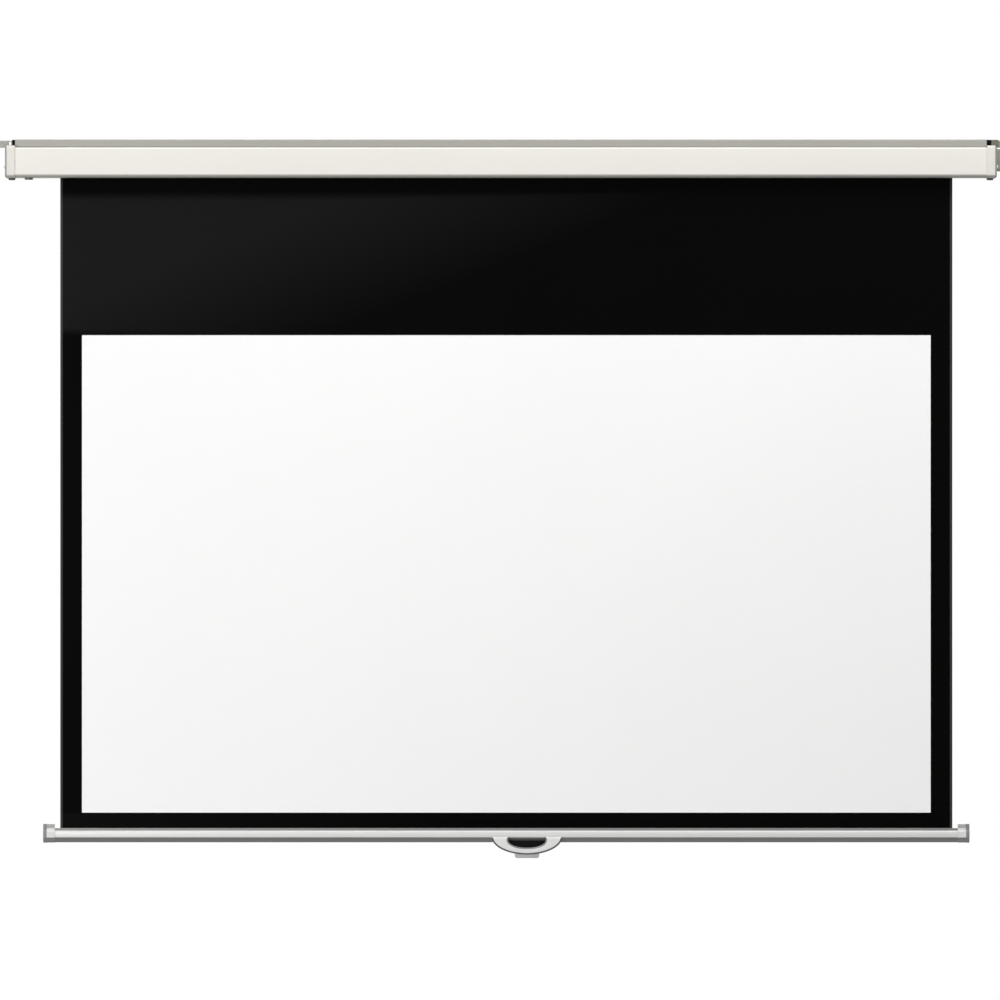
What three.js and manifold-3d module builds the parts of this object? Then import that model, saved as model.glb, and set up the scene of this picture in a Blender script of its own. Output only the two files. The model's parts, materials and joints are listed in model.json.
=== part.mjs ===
// Pull down projector screen on a spring roller, fully pulled down.
// Millimetres, +Z up, X along the case. The wall is the plane y = 0 and the viewer stands on its -Y side.
// The origin is the centre of the case's flat back face.
import * as THREE from "three";
import { mergeVertices } from "three/addons/utils/BufferGeometryUtils.js";
import Module from "manifold-3d";

const wasm = await Module();
wasm.setup();

// Fits shared by every piece
const seatGap = 0.3;
const runningGap = 0.08;
const overrun = 2;
const weldDistance = 0.0005;

// Fabric as it hangs: a 16:9 viewing area inside black masking
const viewingWidth = 2037;
const viewingHeight = 1146;
const sideBorder = 52;
const bottomBorder = 37;
const topDrop = 377;
const fabricThickness = 0.6;
const maskThickness = 0.3;

// Case: a back channel and a front cover between two end caps
const shellTop = 26.5;
const shellWall = 1;
const shellUpperRadius = 4;
const shellLowerRadius = 10;
const seamFromWall = 50;
const tongueLength = 15;
const slotWidth = 14;
const slotLip = 6;

// End caps
const capLength = 24;
const capRise = 4.5;
const capFrontLip = 2;
const capDrop = 1;
const capBackInset = 3.3;
const capWall = 2.5;
const capBevel = 3;
const capUpperRadius = 5;
const capBossRadius = 5.5;
const capScrewInset = 9;
const capScrewUpperDrop = 12;
const capScrewLowerRise = 26;

// Mounting rail on top of the case, with a T slot for hanging bolts
const railHeight = 19;
const railDepth = 70;
const railWall = 2;
const railRadius = 1.5;
const railSlotWidth = 10;
const railLip = 5;
const leftRailPlugFlange = 7;
const rightRailPlugFlange = 28;
const railPlugTongue = 15;
const railPlugInset = 1;
const railScrewFromWall = 24;
const railScrewFromEnd = 140;

// Hanger brackets at the wall, one at each end of the rail
const bracketThickness = 3;
const bracketBehindRail = 76;
const bracketReach = 48;
const bracketRadius = 4;
const bracketScrewPitch = 34;
const bracketScrewInset = 25;
const wallHoleRadius = 2.6;
const wallHoleSpacing = 36;
const wallSlotFromCaseEnd = 9.5;
const wallSlotMargin = 2.5;

// Steel end plates that carry the roller
const plateThickness = 3;
const plateFlange = 24;
const plateFlangeHeight = 50;

// Roller, with room round the wound fabric for the turns that it takes up
const axisFromWall = 50;
const rollRoomFront = 5.175;
const rollRoomAround = 7.175;
const tubeRadius = 25;
const tubeWall = 1.5;
const tubeBeyondFabric = 18;
const woundTurns = 1.75;
const windingGap = 0.5;
const plugFlangeThickness = 6;
const plugHubLength = 40;

// Fixed spindle, its support and the winding spring
const spindleRadius = 5;
const spindlePastSpring = 17.4;
const bladeThickness = 4;
const bladeHeight = 9;
const bladeLength = 16;
const clipThickness = 1.5;
const clipRadius = 8;
const blockLength = 38;
const blockFromPlate = 10;
const blockToPawls = 24.9;
const blockRadius = 14;
const collarLength = 14;
const collarRadius = 15;
const springRadius = 12.5;
const springWireRadius = 1.4;
const springPitch = 9;
const springTurns = 26;
const springPlugLength = 26;

// Lock at the roller's left end: a fixed wheel with notches and two pawls that swing on the roller
const wheelRadius = 10.5;
const wheelNotchDepth = 2.5;
const wheelThickness = 5;
const wheelHubRadius = 8;
const pawlEyeToWheel = 3.6;
const pawlTipToWheel = 0.7;
const pawlTipAngle = THREE.MathUtils.degToRad(50);
const pawlEyeRadius = 3.4;
const pawlNoseRadius = 1;
const pawlThickness = 5;
const pawlPlay = 0.5;
const pawlOpenAngle = THREE.MathUtils.degToRad(35);
const pawlRimWall = 2.6;
const pawlPinRadius = 1.8;
const pawlPinHeadRadius = 3.2;
const pawlPinHeadHeight = 1.5;
const pawlPinSeat = 4;

// Idle end of the roller
const idlePinRadius = 4;
const idlePinSpan = 49.6;
const idlePinPastPlate = 7;
const bushingRadius = 8;
const bushingFlangeRadius = 12;
const bushingFlange = 3;
const axleCoverDepth = 17;
const axleCoverToScrew = 1;
const axleCoverHeight = 53;
const axleCoverRise = 6;
const axleCoverWall = 2.5;
const axleCoverRadius = 5;
const axleCoverScrewInset = 8;
const axleCoverBoss = 4.5;

// Feet under the end caps
const footRadius = 8;
const footHeight = 4.5;
const footStemRadius = 2;
const footStemLength = 4;
const footFromEnd = 15.5;
const clampHeadRadius = 10;

// Weight bar, measured from the fabric plane and down from the bar's top
const barBeyondFabric = 12.5;
const barFront = 15;
const barBack = 13;
const barLipHalf = 6;
const barLipHeight = 5.8;
const barShoulder = 3;
const barChamferHeight = 12;
const barChamferDepth = 8;
const barHollowUpright = 5.8;
const barWall = 2;
const hemSlotWidth = 3;
const hemRodRadius = 3;
const hemDrop = 10;
const barCapLength = 28;
const barCapRise = 10;
const barCapLip = 1;
const barCapTongue = 20;
const barCapBevel = 2;

// Pull handle, hung on the bar's front, measured down from its own top edge
const handleFromBarCentre = 49.5;
const handleAboveChamfer = 1.5;
const handleHalfWidth = 85;
const handleDepth = 43;
const handleInnerHalfWidth = 45;
const handleInnerTop = 9;
const handleInnerDepth = 17.6;
const handleTabHalfWidth = 29.4;
const handleTabBottom = 51;
const handleTabRadius = 3;
const handleInFront = 8;
const handleThickness = 15;
const handleBevel = 2;
const handlePanelThickness = 3;
const handlePanelInset = 4;
const handleScrewSpread = 62;
const handleScrewDrop = 5;
const handleScrewBite = 5;

// Screws
const screwShankRadius = 2;
const screwHeadRadius = 4;
const screwHeadHeight = 2.6;
const screwRecessWidth = 1.2;
const screwRecessSpan = 4.4;
const screwRecessDepth = 1.4;
const screwBite = 8;

// How finely round things are cut
const roundSteps = 36;
const smallSteps = 20;
const cornerSteps = 5;
const windingStepsPerTurn = 24;
const springStepsPerTurn = 8;
const springSides = 5;
const handleSteps = 14;
const wheelNotches = 4;

// The lock and the roller's plugs
const pawlPivotRadius = wheelRadius + pawlEyeToWheel + pawlEyeRadius;
const pawlTipRadius = wheelRadius + pawlTipToWheel + pawlNoseRadius;
const plugFlangeRadius = pawlPivotRadius + pawlEyeRadius + pawlPlay + pawlRimWall;
const plugAndRoller = plugFlangeThickness + seatGap + tubeBeyondFabric;

// The case is as deep and high as the wound fabric needs, and as long as the fabric and what holds each end
const windingPitch = fabricThickness + windingGap;
const woundRadius = tubeRadius + seatGap + fabricThickness + windingPitch * woundTurns;
const caseDepth = axisFromWall + woundRadius + rollRoomFront + shellWall;
const axisBelowShellTop = woundRadius + rollRoomAround + shellWall;
const shellHeight = 2 * axisBelowShellTop;
const fabricWidth = viewingWidth + 2 * sideBorder;
const capAndPlate = capLength + seatGap + plateThickness;
const lockRoom = blockFromPlate + blockLength + blockToPawls + 2 * pawlPlay + pawlThickness;
const idleRoom = seatGap + bushingFlange + idlePinSpan;
const springEndRoom = capAndPlate + lockRoom + plugAndRoller;
const idleEndRoom = capAndPlate + idleRoom + plugAndRoller;
const caseLength = fabricWidth + springEndRoom + idleEndRoom;
const fabricOffset = (springEndRoom - idleEndRoom) / 2;
const screwToAxis = caseDepth - capScrewInset - axisFromWall;
const axleCoverWidth = 2 * (screwToAxis - screwHeadRadius - axleCoverToScrew);

// Places worked out from the sizes above
const caseEnd = caseLength / 2;
const shellEnd = caseEnd - capLength;
const shellBottom = shellTop - shellHeight;
const railTop = shellTop + seatGap + railHeight;
const railFloor = shellTop + seatGap;
const railBack = -bracketThickness - seatGap;
const railFront = railBack - railDepth;
const bracketHeight = railHeight - 2 * railPlugInset;
const axisY = -axisFromWall;
const axisZ = shellTop - axisBelowShellTop;
const maskFace = axisY + woundRadius + seatGap;
const fabricFace = maskFace + maskThickness;
const fabricBack = fabricFace + fabricThickness;
const fabricMiddle = (fabricFace + fabricBack) / 2;
const slotRear = fabricMiddle + slotWidth / 2;
const slotFront = fabricMiddle - slotWidth / 2;
const tubeLeft = fabricOffset - fabricWidth / 2 - tubeBeyondFabric;
const tubeRight = fabricOffset + fabricWidth / 2 + tubeBeyondFabric;
const plateOuter = shellEnd - seatGap;
const plateInner = plateOuter - plateThickness;
const viewingTop = shellBottom - topDrop;
const viewingBottom = viewingTop - viewingHeight;
const barTop = viewingBottom - bottomBorder;
const hemCentre = -hemDrop;
const hemLoopInner = hemRodRadius + seatGap;
const hemLoopOuter = hemLoopInner + fabricThickness;
const hemPocket = hemLoopOuter + seatGap;
const barLength = fabricWidth + 2 * barBeyondFabric;
const barHeight = hemDrop + hemPocket + barWall + barHollowUpright + barChamferHeight;
const handleTop = barChamferHeight + handleAboveChamfer - barHeight;
const handleScrewZ = handleTop - handleScrewDrop;

// Colours and finishes
const creamPaint = { color: 0xe8e5dc, roughness: 0.42, metalness: 0 };
const grayPaint = { color: 0xa3a199, roughness: 0.45, metalness: 0.3 };
const zincSteel = { color: 0xb4b4ae, roughness: 0.35, metalness: 0.9 };
const darkSteel = { color: 0x55544c, roughness: 0.4, metalness: 0.7 };
const silverAluminium = { color: 0xcfcfcf, roughness: 0.3, metalness: 0.8 };
const silverPlastic = { color: 0xd2d2d2, roughness: 0.35, metalness: 0 };
const whiteGloss = { color: 0xe6e6e6, roughness: 0.15, metalness: 0 };
const blackPlastic = { color: 0x101010, roughness: 0.5, metalness: 0 };
const blackRubber = { color: 0x242420, roughness: 0.85, metalness: 0 };
const whiteNylon = { color: 0xe4e2d8, roughness: 0.6, metalness: 0 };
const whiteScreen = { color: 0xf7f7f6, roughness: 0.9, metalness: 0 };
const blackMask = { color: 0x0b0b0a, roughness: 0.8, metalness: 0 };

// Outlines

function point(a, b) {
  return new THREE.Vector2(a, b);
}

function circle(a, b, radius, steps = smallSteps) {
  return Array.from({ length: steps }, (_, i) => {
    const turn = (2 * Math.PI * i) / steps;
    return point(a + radius * Math.cos(turn), b + radius * Math.sin(turn));
  });
}

function rectangle(a0, b0, a1, b1) {
  return [point(a0, b0), point(a1, b0), point(a1, b1), point(a0, b1)];
}

// An upright slot with round ends
function oblong(a, bottom, top, radius) {
  const ends = [bottom + radius, top - radius];
  return circle(a, 0, radius).map((at) => point(at.x, at.y + (at.y > 0 ? ends[1] : ends[0])));
}

// Turns the corners of an outline into arcs. Each corner is [a, b] or [a, b, radius].
function rounded(corners, closed = true) {
  const count = corners.length;
  return corners.flatMap(([a, b, radius], i) => {
    const here = point(a, b);
    if (!radius || (!closed && (i === 0 || i === count - 1))) {
      return [here];
    }
    const before = point(...corners[(i + count - 1) % count]).sub(here).normalize();
    const after = point(...corners[(i + 1) % count]).sub(here).normalize();
    const half = Math.acos(before.dot(after)) / 2;
    const middle = before.clone().add(after).normalize();
    const centre = here.clone().addScaledVector(middle, radius / Math.sin(half));
    const from = here.clone().addScaledVector(before, radius / Math.tan(half)).sub(centre);
    const to = here.clone().addScaledVector(after, radius / Math.tan(half)).sub(centre);
    const sweep = Math.atan2(from.cross(to), from.dot(to));
    return Array.from({ length: cornerSteps + 1 }, (_, step) =>
      from.clone().rotateAround(point(0, 0), (sweep * step) / cornerSteps).add(centre),
    );
  });
}

// The section of a bent sheet. Its outer face follows the open path, and the sheet lies to the left.
function bentSheet(path, wall) {
  const leftOf = (from, to) => {
    const along = to.clone().sub(from).normalize();
    return point(-along.y, along.x);
  };
  const inner = path.map((here, i) => {
    const before = leftOf(path[Math.max(i - 1, 0)], path[Math.max(i, 1)]);
    const after = leftOf(path[Math.min(i, path.length - 2)], path[Math.min(i + 1, path.length - 1)]);
    const miter = before.clone().add(after).divideScalar(1 + before.dot(after));
    return here.clone().addScaledVector(miter, wall);
  });
  return [...path, ...inner.reverse()];
}

function shapeOf(outline, ...holes) {
  const shape = new THREE.Shape(outline);
  shape.holes = holes.map((hole) => new THREE.Path(hole));
  return shape;
}

// Solids

const unitX = new THREE.Vector3(1, 0, 0);
const unitY = new THREE.Vector3(0, 1, 0);
const unitZ = new THREE.Vector3(0, 0, 1);
const frames = {
  x: new THREE.Matrix4().makeBasis(unitY, unitZ, unitX),
  y: new THREE.Matrix4().makeBasis(unitX, unitZ, unitY.clone().negate()),
  z: new THREE.Matrix4(),
};

// A prism along x, y or z. Its shape is drawn in (y, z), (x, z) or (x, y).
function prism(axis, shape, from, to, bevel = 0) {
  const geometry = new THREE.ExtrudeGeometry(shape, {
    depth: to - from - 2 * bevel,
    bevelEnabled: bevel > 0,
    bevelThickness: bevel,
    bevelSize: bevel,
    bevelOffset: -bevel,
    bevelSegments: 2,
  });
  geometry.translate(0, 0, bevel);
  geometry.applyMatrix4(frames[axis]);
  const start = { x: [from, 0, 0], y: [0, to, 0], z: [0, 0, from] }[axis];
  return solidOf(geometry.translate(...start));
}

function rod(axis, a, b, radius, from, to, steps = smallSteps) {
  return prism(axis, shapeOf(circle(a, b, radius, steps)), from, to);
}

function block(x0, y0, z0, x1, y1, z1) {
  return prism("z", shapeOf(rectangle(x0, y0, x1, y1)), z0, z1);
}

// A solid turned about X. The profile is a closed list of [radius, x].
function turned(profile, steps = roundSteps) {
  const closed = [...profile, profile[0]].map(([radius, x]) => point(radius, x));
  const geometry = new THREE.LatheGeometry(closed, steps);
  geometry.applyMatrix4(new THREE.Matrix4().makeRotationZ(-Math.PI / 2));
  return solidOf(geometry);
}

function solidOf(geometry) {
  geometry.deleteAttribute("normal");
  geometry.deleteAttribute("uv");
  const merged = mergeVertices(geometry, weldDistance);
  return new wasm.Manifold(
    new wasm.Mesh({
      numProp: 3,
      vertProperties: merged.attributes.position.array,
      triVerts: new Uint32Array(merged.index.array),
    }),
  );
}

function geometryOf(solid) {
  const { vertProperties, triVerts } = solid.getMesh();
  const geometry = new THREE.BufferGeometry();
  geometry.setAttribute("position", new THREE.BufferAttribute(vertProperties, 3));
  geometry.setIndex(new THREE.BufferAttribute(triVerts, 1));
  geometry.computeVertexNormals();
  return geometry;
}

function piece(group, name, solid, finish) {
  const mesh = new THREE.Mesh(geometryOf(solid), new THREE.MeshStandardMaterial(finish));
  mesh.name = name;
  group.add(mesh);
  return mesh;
}

function cut(solid, ...tools) {
  return tools.reduce((rest, tool) => rest.subtract(tool), solid);
}

function join(solid, ...others) {
  return others.reduce((sum, other) => sum.add(other), solid);
}

// A pan head screw that points along +X, with its head's seat at x = 0 and a cross recess in the head.
function screwSolid(shankLength) {
  const body = turned(
    [
      [0, -screwHeadHeight],
      [screwHeadRadius - screwHeadHeight / 2, -screwHeadHeight],
      [screwHeadRadius, -screwHeadHeight / 2],
      [screwHeadRadius, 0],
      [screwShankRadius, 0],
      [screwShankRadius, shankLength],
      [0, shankLength],
    ],
    smallSteps,
  );
  const half = screwRecessWidth / 2;
  const span = screwRecessSpan / 2;
  const near = -screwHeadHeight - overrun;
  const far = screwRecessDepth - screwHeadHeight;
  return cut(body, block(near, -half, -span, far, half, span), block(near, -span, -half, far, span, half));
}

function screw(group, name, finish, shankLength, position, direction) {
  const mesh = piece(group, name, screwSolid(shankLength), finish);
  mesh.position.copy(position);
  mesh.quaternion.setFromUnitVectors(unitX, direction);
  return mesh;
}

const screwHole = screwShankRadius + seatGap;

// Case shell

// The case's outline in (y, z), moved out by front, back, top and bottom.
function shellOutline({ front, back, top, bottom, upperRadius, lowerRadius }) {
  return rounded([
    [back, shellBottom - bottom],
    [back, shellTop + top],
    [-caseDepth - front, shellTop + top, upperRadius],
    [-caseDepth - front, shellBottom - bottom, lowerRadius],
  ]);
}

function railScrewPlaces() {
  const reach = shellEnd - railScrewFromEnd;
  return [
    ["left", -reach],
    ["middle", 0],
    ["right", reach],
  ];
}

function backChannel() {
  const joggle = shellWall + seatGap;
  const path = rounded(
    [
      [slotRear, shellBottom + slotLip],
      [slotRear, shellBottom],
      [0, shellBottom, shellWall + seatGap],
      [0, shellTop, shellWall + seatGap],
      [-seamFromWall + joggle, shellTop],
      [-seamFromWall, shellTop - joggle],
      [-seamFromWall - tongueLength, shellTop - joggle],
    ],
    false,
  );
  const channel = prism("x", shapeOf(bentSheet(path, shellWall)), -shellEnd, shellEnd);
  const holes = railScrewPlaces().map(([, x]) =>
    rod("z", x, -railScrewFromWall, screwHole, shellTop - shellWall - overrun, shellTop + overrun),
  );
  return cut(channel, ...holes);
}

function frontCover() {
  const path = rounded(
    [
      [-seamFromWall - seatGap, shellTop],
      [-caseDepth, shellTop, shellUpperRadius],
      [-caseDepth, shellBottom, shellLowerRadius],
      [slotFront, shellBottom],
      [slotFront, shellBottom + slotLip],
    ],
    false,
  );
  const cover = prism("x", shapeOf(bentSheet(path, shellWall)), -shellEnd, shellEnd);
  const clampHole = rod("z", -blockCentreX(), axisY, screwHole, shellBottom - overrun, shellBottom + overrun);
  return cut(cover, clampHole);
}

function topRail() {
  const slotMiddle = (railFront + railBack) / 2;
  const rearLip = slotMiddle + railSlotWidth / 2;
  const frontLip = slotMiddle - railSlotWidth / 2;
  const path = rounded(
    [
      [frontLip, railTop - railLip],
      [frontLip, railTop],
      [railFront, railTop, railRadius + railWall],
      [railFront, railFloor, railRadius + railWall],
      [railBack, railFloor, railRadius + railWall],
      [railBack, railTop, railRadius + railWall],
      [rearLip, railTop],
      [rearLip, railTop - railLip],
    ],
    false,
  );
  const rail = prism("x", shapeOf(bentSheet(path, railWall)), -shellEnd, shellEnd);
  const floorHoles = railScrewPlaces().map(([, x]) =>
    rod("z", x, -railScrewFromWall, screwHole, railFloor - overrun, railFloor + railWall + overrun),
  );
  const backHoles = bracketScrewPlaces().flatMap(([, x]) =>
    [-x, x].map((at) => rod("y", at, bracketMiddle(), screwHole, railBack - railWall - overrun, 0)),
  );
  return cut(rail, ...floorHoles, ...backHoles);
}

// End caps

function capScrewPlaces() {
  return [
    ["upper", -capScrewInset - capBackInset, shellTop - capScrewUpperDrop],
    ["lower", capScrewInset - caseDepth, shellBottom + capScrewLowerRise],
  ];
}

function axleCoverScrewPlaces() {
  const reach = axleCoverHeight / 2 - axleCoverScrewInset;
  const middle = axisZ + axleCoverRise;
  return [
    ["upper", axisY, middle + reach],
    ["lower", axisY, middle - reach],
  ];
}

// The right end's cap; the left one is its mirror image without the bosses for the axle cover.
function endCapSolid(side) {
  const outer = shapeOf(
    shellOutline({
      front: capFrontLip,
      back: -capBackInset,
      top: capRise,
      bottom: capDrop,
      upperRadius: capUpperRadius,
      lowerRadius: shellLowerRadius,
    }),
  );
  const inner = shapeOf(
    shellOutline({
      front: capFrontLip - capWall,
      back: -capBackInset - capWall,
      top: capRise - capWall,
      bottom: capDrop - capWall,
      upperRadius: capUpperRadius - capWall,
      lowerRadius: shellLowerRadius - capWall,
    }),
  );
  const from = shellEnd + seatGap;
  const bossEnd = caseEnd - capWall / 2;
  const long = prism("x", outer, from - capBevel - overrun, caseEnd, capBevel);
  const shortened = cut(
    long,
    block(from - capBevel - 2 * overrun, -2 * caseDepth, -2 * shellHeight, from, caseDepth, 2 * shellHeight),
  );
  const hollow = cut(shortened, prism("x", inner, from - overrun, caseEnd - capWall));
  const bosses = capScrewPlaces().map(([, y, z]) => rod("x", y, z, capBossRadius, from, bossEnd));
  const holes = capScrewPlaces().map(([, y, z]) =>
    rod("x", y, z, screwHole, from - overrun, caseEnd + overrun),
  );
  const footHole = rod(
    "z",
    caseEnd - footFromEnd,
    axisY,
    footStemRadius + seatGap,
    shellBottom - capDrop - overrun,
    shellBottom - capDrop + capWall + overrun,
  );
  const cap = cut(join(hollow, ...bosses), ...holes, footHole);
  if (side < 0) {
    return cap.mirror(unitX.toArray());
  }
  const coverBosses = axleCoverScrewPlaces().map(([, y, z]) =>
    rod("x", y, z, capBossRadius, caseEnd - capWall - screwBite, bossEnd),
  );
  const coverHoles = axleCoverScrewPlaces().map(([, y, z]) =>
    rod("x", y, z, screwHole, caseEnd - capWall - screwBite - overrun, caseEnd + overrun),
  );
  return cut(join(cap, ...coverBosses), ...coverHoles);
}

// A round head on a stem, along +X with the head's seat at x = 0
function footSolid(radius, stemLength) {
  return turned(
    [
      [0, -stemLength],
      [footStemRadius, -stemLength],
      [footStemRadius, 0],
      [radius, 0],
      [radius, footHeight - footStemRadius / 2],
      [radius - footStemRadius / 2, footHeight],
      [0, footHeight],
    ],
    smallSteps,
  );
}

function foot(name, radius, stemLength, x, seat, finish) {
  const mesh = piece(screen, name, footSolid(radius, stemLength), finish);
  mesh.position.set(x, axisY, seat - seatGap);
  mesh.rotation.y = Math.PI / 2;
}

// Rail plugs and hanger brackets

function railPlugSolid(flangeLength) {
  const capTop = shellTop + capRise + seatGap;
  const flange = shapeOf(
    rectangle(railFront + railPlugInset, capTop, railBack - railPlugInset, railTop - railPlugInset),
  );
  const inside = railWall + seatGap;
  const tongueOutline = rounded([
    [railFront + inside, railFloor + inside, railRadius],
    [railBack - inside, railFloor + inside, railRadius],
    [railBack - inside, railTop - railLip - seatGap],
    [railFront + inside, railTop - railLip - seatGap],
  ]);
  const start = shellEnd + seatGap;
  const tongueEnd = start + railPlugInset + overrun;
  const tongue = prism("x", shapeOf(tongueOutline), shellEnd - railPlugTongue, tongueEnd);
  const overCap = block(shellEnd, -caseDepth, railFloor, start + capLength, 0, capTop);
  const head = prism("x", flange, start, start + flangeLength, railPlugInset);
  return join(head, cut(tongue, overCap));
}

function bracketMiddle() {
  return railTop - railPlugInset - bracketHeight / 2;
}

// Distances of the two bracket screws from the case's centre
function bracketScrewPlaces() {
  const outer = shellEnd - bracketScrewInset;
  return [
    ["outer", outer],
    ["inner", outer - bracketScrewPitch],
  ];
}

function bracketSolid() {
  const top = bracketMiddle() + bracketHeight / 2;
  const bottom = bracketMiddle() - bracketHeight / 2;
  const overCap = shellTop + capRise + seatGap;
  const outline = rounded([
    [shellEnd - bracketBehindRail, bottom, bracketRadius],
    [shellEnd - seatGap, bottom],
    [shellEnd - seatGap, overCap],
    [caseEnd + seatGap, overCap],
    [caseEnd + seatGap, bottom],
    [caseEnd + bracketReach, bottom, bracketRadius],
    [caseEnd + bracketReach, top, bracketRadius],
    [shellEnd - bracketBehindRail, top, bracketRadius],
  ]);
  const slotX = caseEnd - wallSlotFromCaseEnd;
  const wallSlot = oblong(slotX, overCap + wallSlotMargin, top - wallSlotMargin, wallHoleRadius);
  const wallHole = circle(slotX + wallHoleSpacing, bracketMiddle(), wallHoleRadius);
  const screwHoles = bracketScrewPlaces().map(([, x]) => circle(x, bracketMiddle(), screwHole));
  return prism("y", shapeOf(outline, wallSlot, wallHole, ...screwHoles), -bracketThickness, 0);
}

// End plates, turned in at the back wall

function endPlateSolid(axleHole, screwPlaces) {
  const inside = shellWall + seatGap;
  const outline = shellOutline({
    front: -inside,
    back: -inside,
    top: -inside - shellWall - seatGap,
    bottom: -inside,
    upperRadius: shellUpperRadius,
    lowerRadius: shellLowerRadius - inside,
  });
  const screwHoles = screwPlaces.map(([, y, z]) => circle(y, z, screwHole));
  const plate = prism("x", shapeOf(outline, axleHole, ...screwHoles), plateInner, plateOuter);
  const middle = (shellTop + shellBottom) / 2;
  const flange = block(
    plateInner - plateFlange,
    -inside - plateThickness,
    middle - plateFlangeHeight / 2,
    plateInner + plateThickness / 2,
    -inside,
    middle + plateFlangeHeight / 2,
  );
  const reach = shellWall + seatGap;
  const slotNotch = block(
    plateInner - overrun,
    slotFront - reach,
    shellBottom,
    plateOuter + overrun,
    slotRear + reach,
    shellBottom + slotLip + seatGap,
  );
  return join(cut(plate, slotNotch), flange);
}

function leftEndPlate() {
  const height = bladeHeight / 2 + seatGap;
  const thickness = bladeThickness / 2 + seatGap;
  const slot = rectangle(axisY - thickness, axisZ - height, axisY + thickness, axisZ + height);
  return endPlateSolid(slot, capScrewPlaces()).mirror(unitX.toArray());
}

function rightEndPlate() {
  return endPlateSolid(circle(axisY, axisZ, bushingRadius + seatGap), capScrewPlaces());
}

// Spindle and spring, drawn about the roller's axis

function blockCentreX() {
  return plateInner - blockFromPlate - blockLength / 2;
}

// The blade end at the left plate; the round part runs on into the roller.
function spindleSolid() {
  const bladeEnd = -plateInner - bladeLength;
  const roundStart = -plateInner + seatGap;
  const roundEnd = springPlugLeft + springPlugLength + spindlePastSpring;
  const round = rod("x", 0, 0, spindleRadius, roundStart, roundEnd, roundSteps);
  const halfBlade = bladeThickness / 2;
  const halfHeight = bladeHeight / 2;
  const blade = block(bladeEnd, -halfBlade, -halfHeight, roundStart + overrun, halfBlade, halfHeight);
  return join(round, blade);
}

function spindleClip() {
  const height = bladeHeight / 2 + seatGap;
  const thickness = bladeThickness / 2 + seatGap;
  const shape = shapeOf(circle(0, 0, clipRadius), rectangle(-thickness, -height, thickness, height));
  const face = -plateOuter - seatGap;
  return prism("x", shape, face - clipThickness, face);
}

// A saddle that stands on the case's floor and holds the spindle
function spindleBlock() {
  const floor = shellBottom + shellWall + seatGap - axisZ;
  const top = circle(0, 0, blockRadius, roundSteps).filter((at) => at.y >= 0);
  const outline = [...top, point(-blockRadius, floor), point(blockRadius, floor)];
  const shape = shapeOf(outline, circle(0, 0, spindleRadius + seatGap));
  const centre = -blockCentreX();
  const saddle = prism("x", shape, centre - blockLength / 2, centre + blockLength / 2);
  return cut(saddle, rod("z", centre, 0, screwHole, floor - overrun, floor + screwBite + overrun));
}

function wheelOutline() {
  const step = (2 * Math.PI) / wheelNotches;
  const root = wheelRadius - wheelNotchDepth;
  const arcShares = [0.3, 0.475, 0.65, 0.825, 1];
  return Array.from({ length: wheelNotches }, (_, i) => i * step).flatMap((start) => {
    const at = (share, radius) =>
      point(radius * Math.cos(start + share * step), radius * Math.sin(start + share * step));
    return [at(0, root), ...arcShares.map((share) => at(share, wheelRadius))];
  });
}

const flangeOuter = tubeLeft - seatGap - plugFlangeThickness;
const pawlRight = flangeOuter - pawlPlay;
const pawlLeft = pawlRight - pawlThickness;

function ratchetWheel() {
  const bore = circle(0, 0, spindleRadius + seatGap);
  const wheel = prism("x", shapeOf(wheelOutline(), bore), pawlRight - wheelThickness, pawlRight);
  const hubStart = -blockCentreX() + blockLength / 2 + seatGap;
  const hubEnd = pawlRight - wheelThickness / 2;
  const hub = prism("x", shapeOf(circle(0, 0, wheelHubRadius), bore), hubStart, hubEnd);
  return join(wheel, hub);
}

const collarLeft = tubeLeft + plugHubLength + seatGap;
const springLeft = collarLeft + collarLength + seatGap + springWireRadius;
const springRight = springLeft + springTurns * springPitch;
const springPlugLeft = springRight + springWireRadius + seatGap;

function sleeve(outerRadius, boreRadius, from, to) {
  return prism("x", shapeOf(circle(0, 0, outerRadius, roundSteps), circle(0, 0, boreRadius)), from, to);
}

class Helix extends THREE.Curve {
  getPoint(share, target = new THREE.Vector3()) {
    const turn = 2 * Math.PI * springTurns * share;
    const x = springLeft + (springRight - springLeft) * share;
    return target.set(x, springRadius * Math.cos(turn), springRadius * Math.sin(turn));
  }
}

function torsionSpring() {
  const geometry = new THREE.ExtrudeGeometry(shapeOf(circle(0, 0, springWireRadius, springSides)), {
    steps: springTurns * springStepsPerTurn,
    extrudePath: new Helix(),
  });
  return solidOf(geometry);
}

// Roller pieces, drawn about the roller's axis

function rollerTube() {
  return sleeve(tubeRadius, tubeRadius - tubeWall, tubeLeft, tubeRight);
}

function leftRollerPlug() {
  const bore = spindleRadius + runningGap;
  const rimEnd = pawlLeft - pawlPlay;
  const plug = turned([
    [bore, flangeOuter],
    [plugFlangeRadius - pawlRimWall, flangeOuter],
    [plugFlangeRadius - pawlRimWall, rimEnd],
    [plugFlangeRadius, rimEnd],
    [plugFlangeRadius, tubeLeft - seatGap],
    [tubeRadius - tubeWall - seatGap, tubeLeft - seatGap],
    [tubeRadius - tubeWall - seatGap, tubeLeft + plugHubLength],
    [bore, tubeLeft + plugHubLength],
  ]);
  const seatRadius = pawlPinRadius + seatGap;
  const seatEnd = flangeOuter + pawlPinSeat;
  const seats = [1, -1].map((side) =>
    rod("x", 0, side * pawlPivotRadius, seatRadius, flangeOuter - overrun, seatEnd),
  );
  return cut(plug, ...seats);
}

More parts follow.
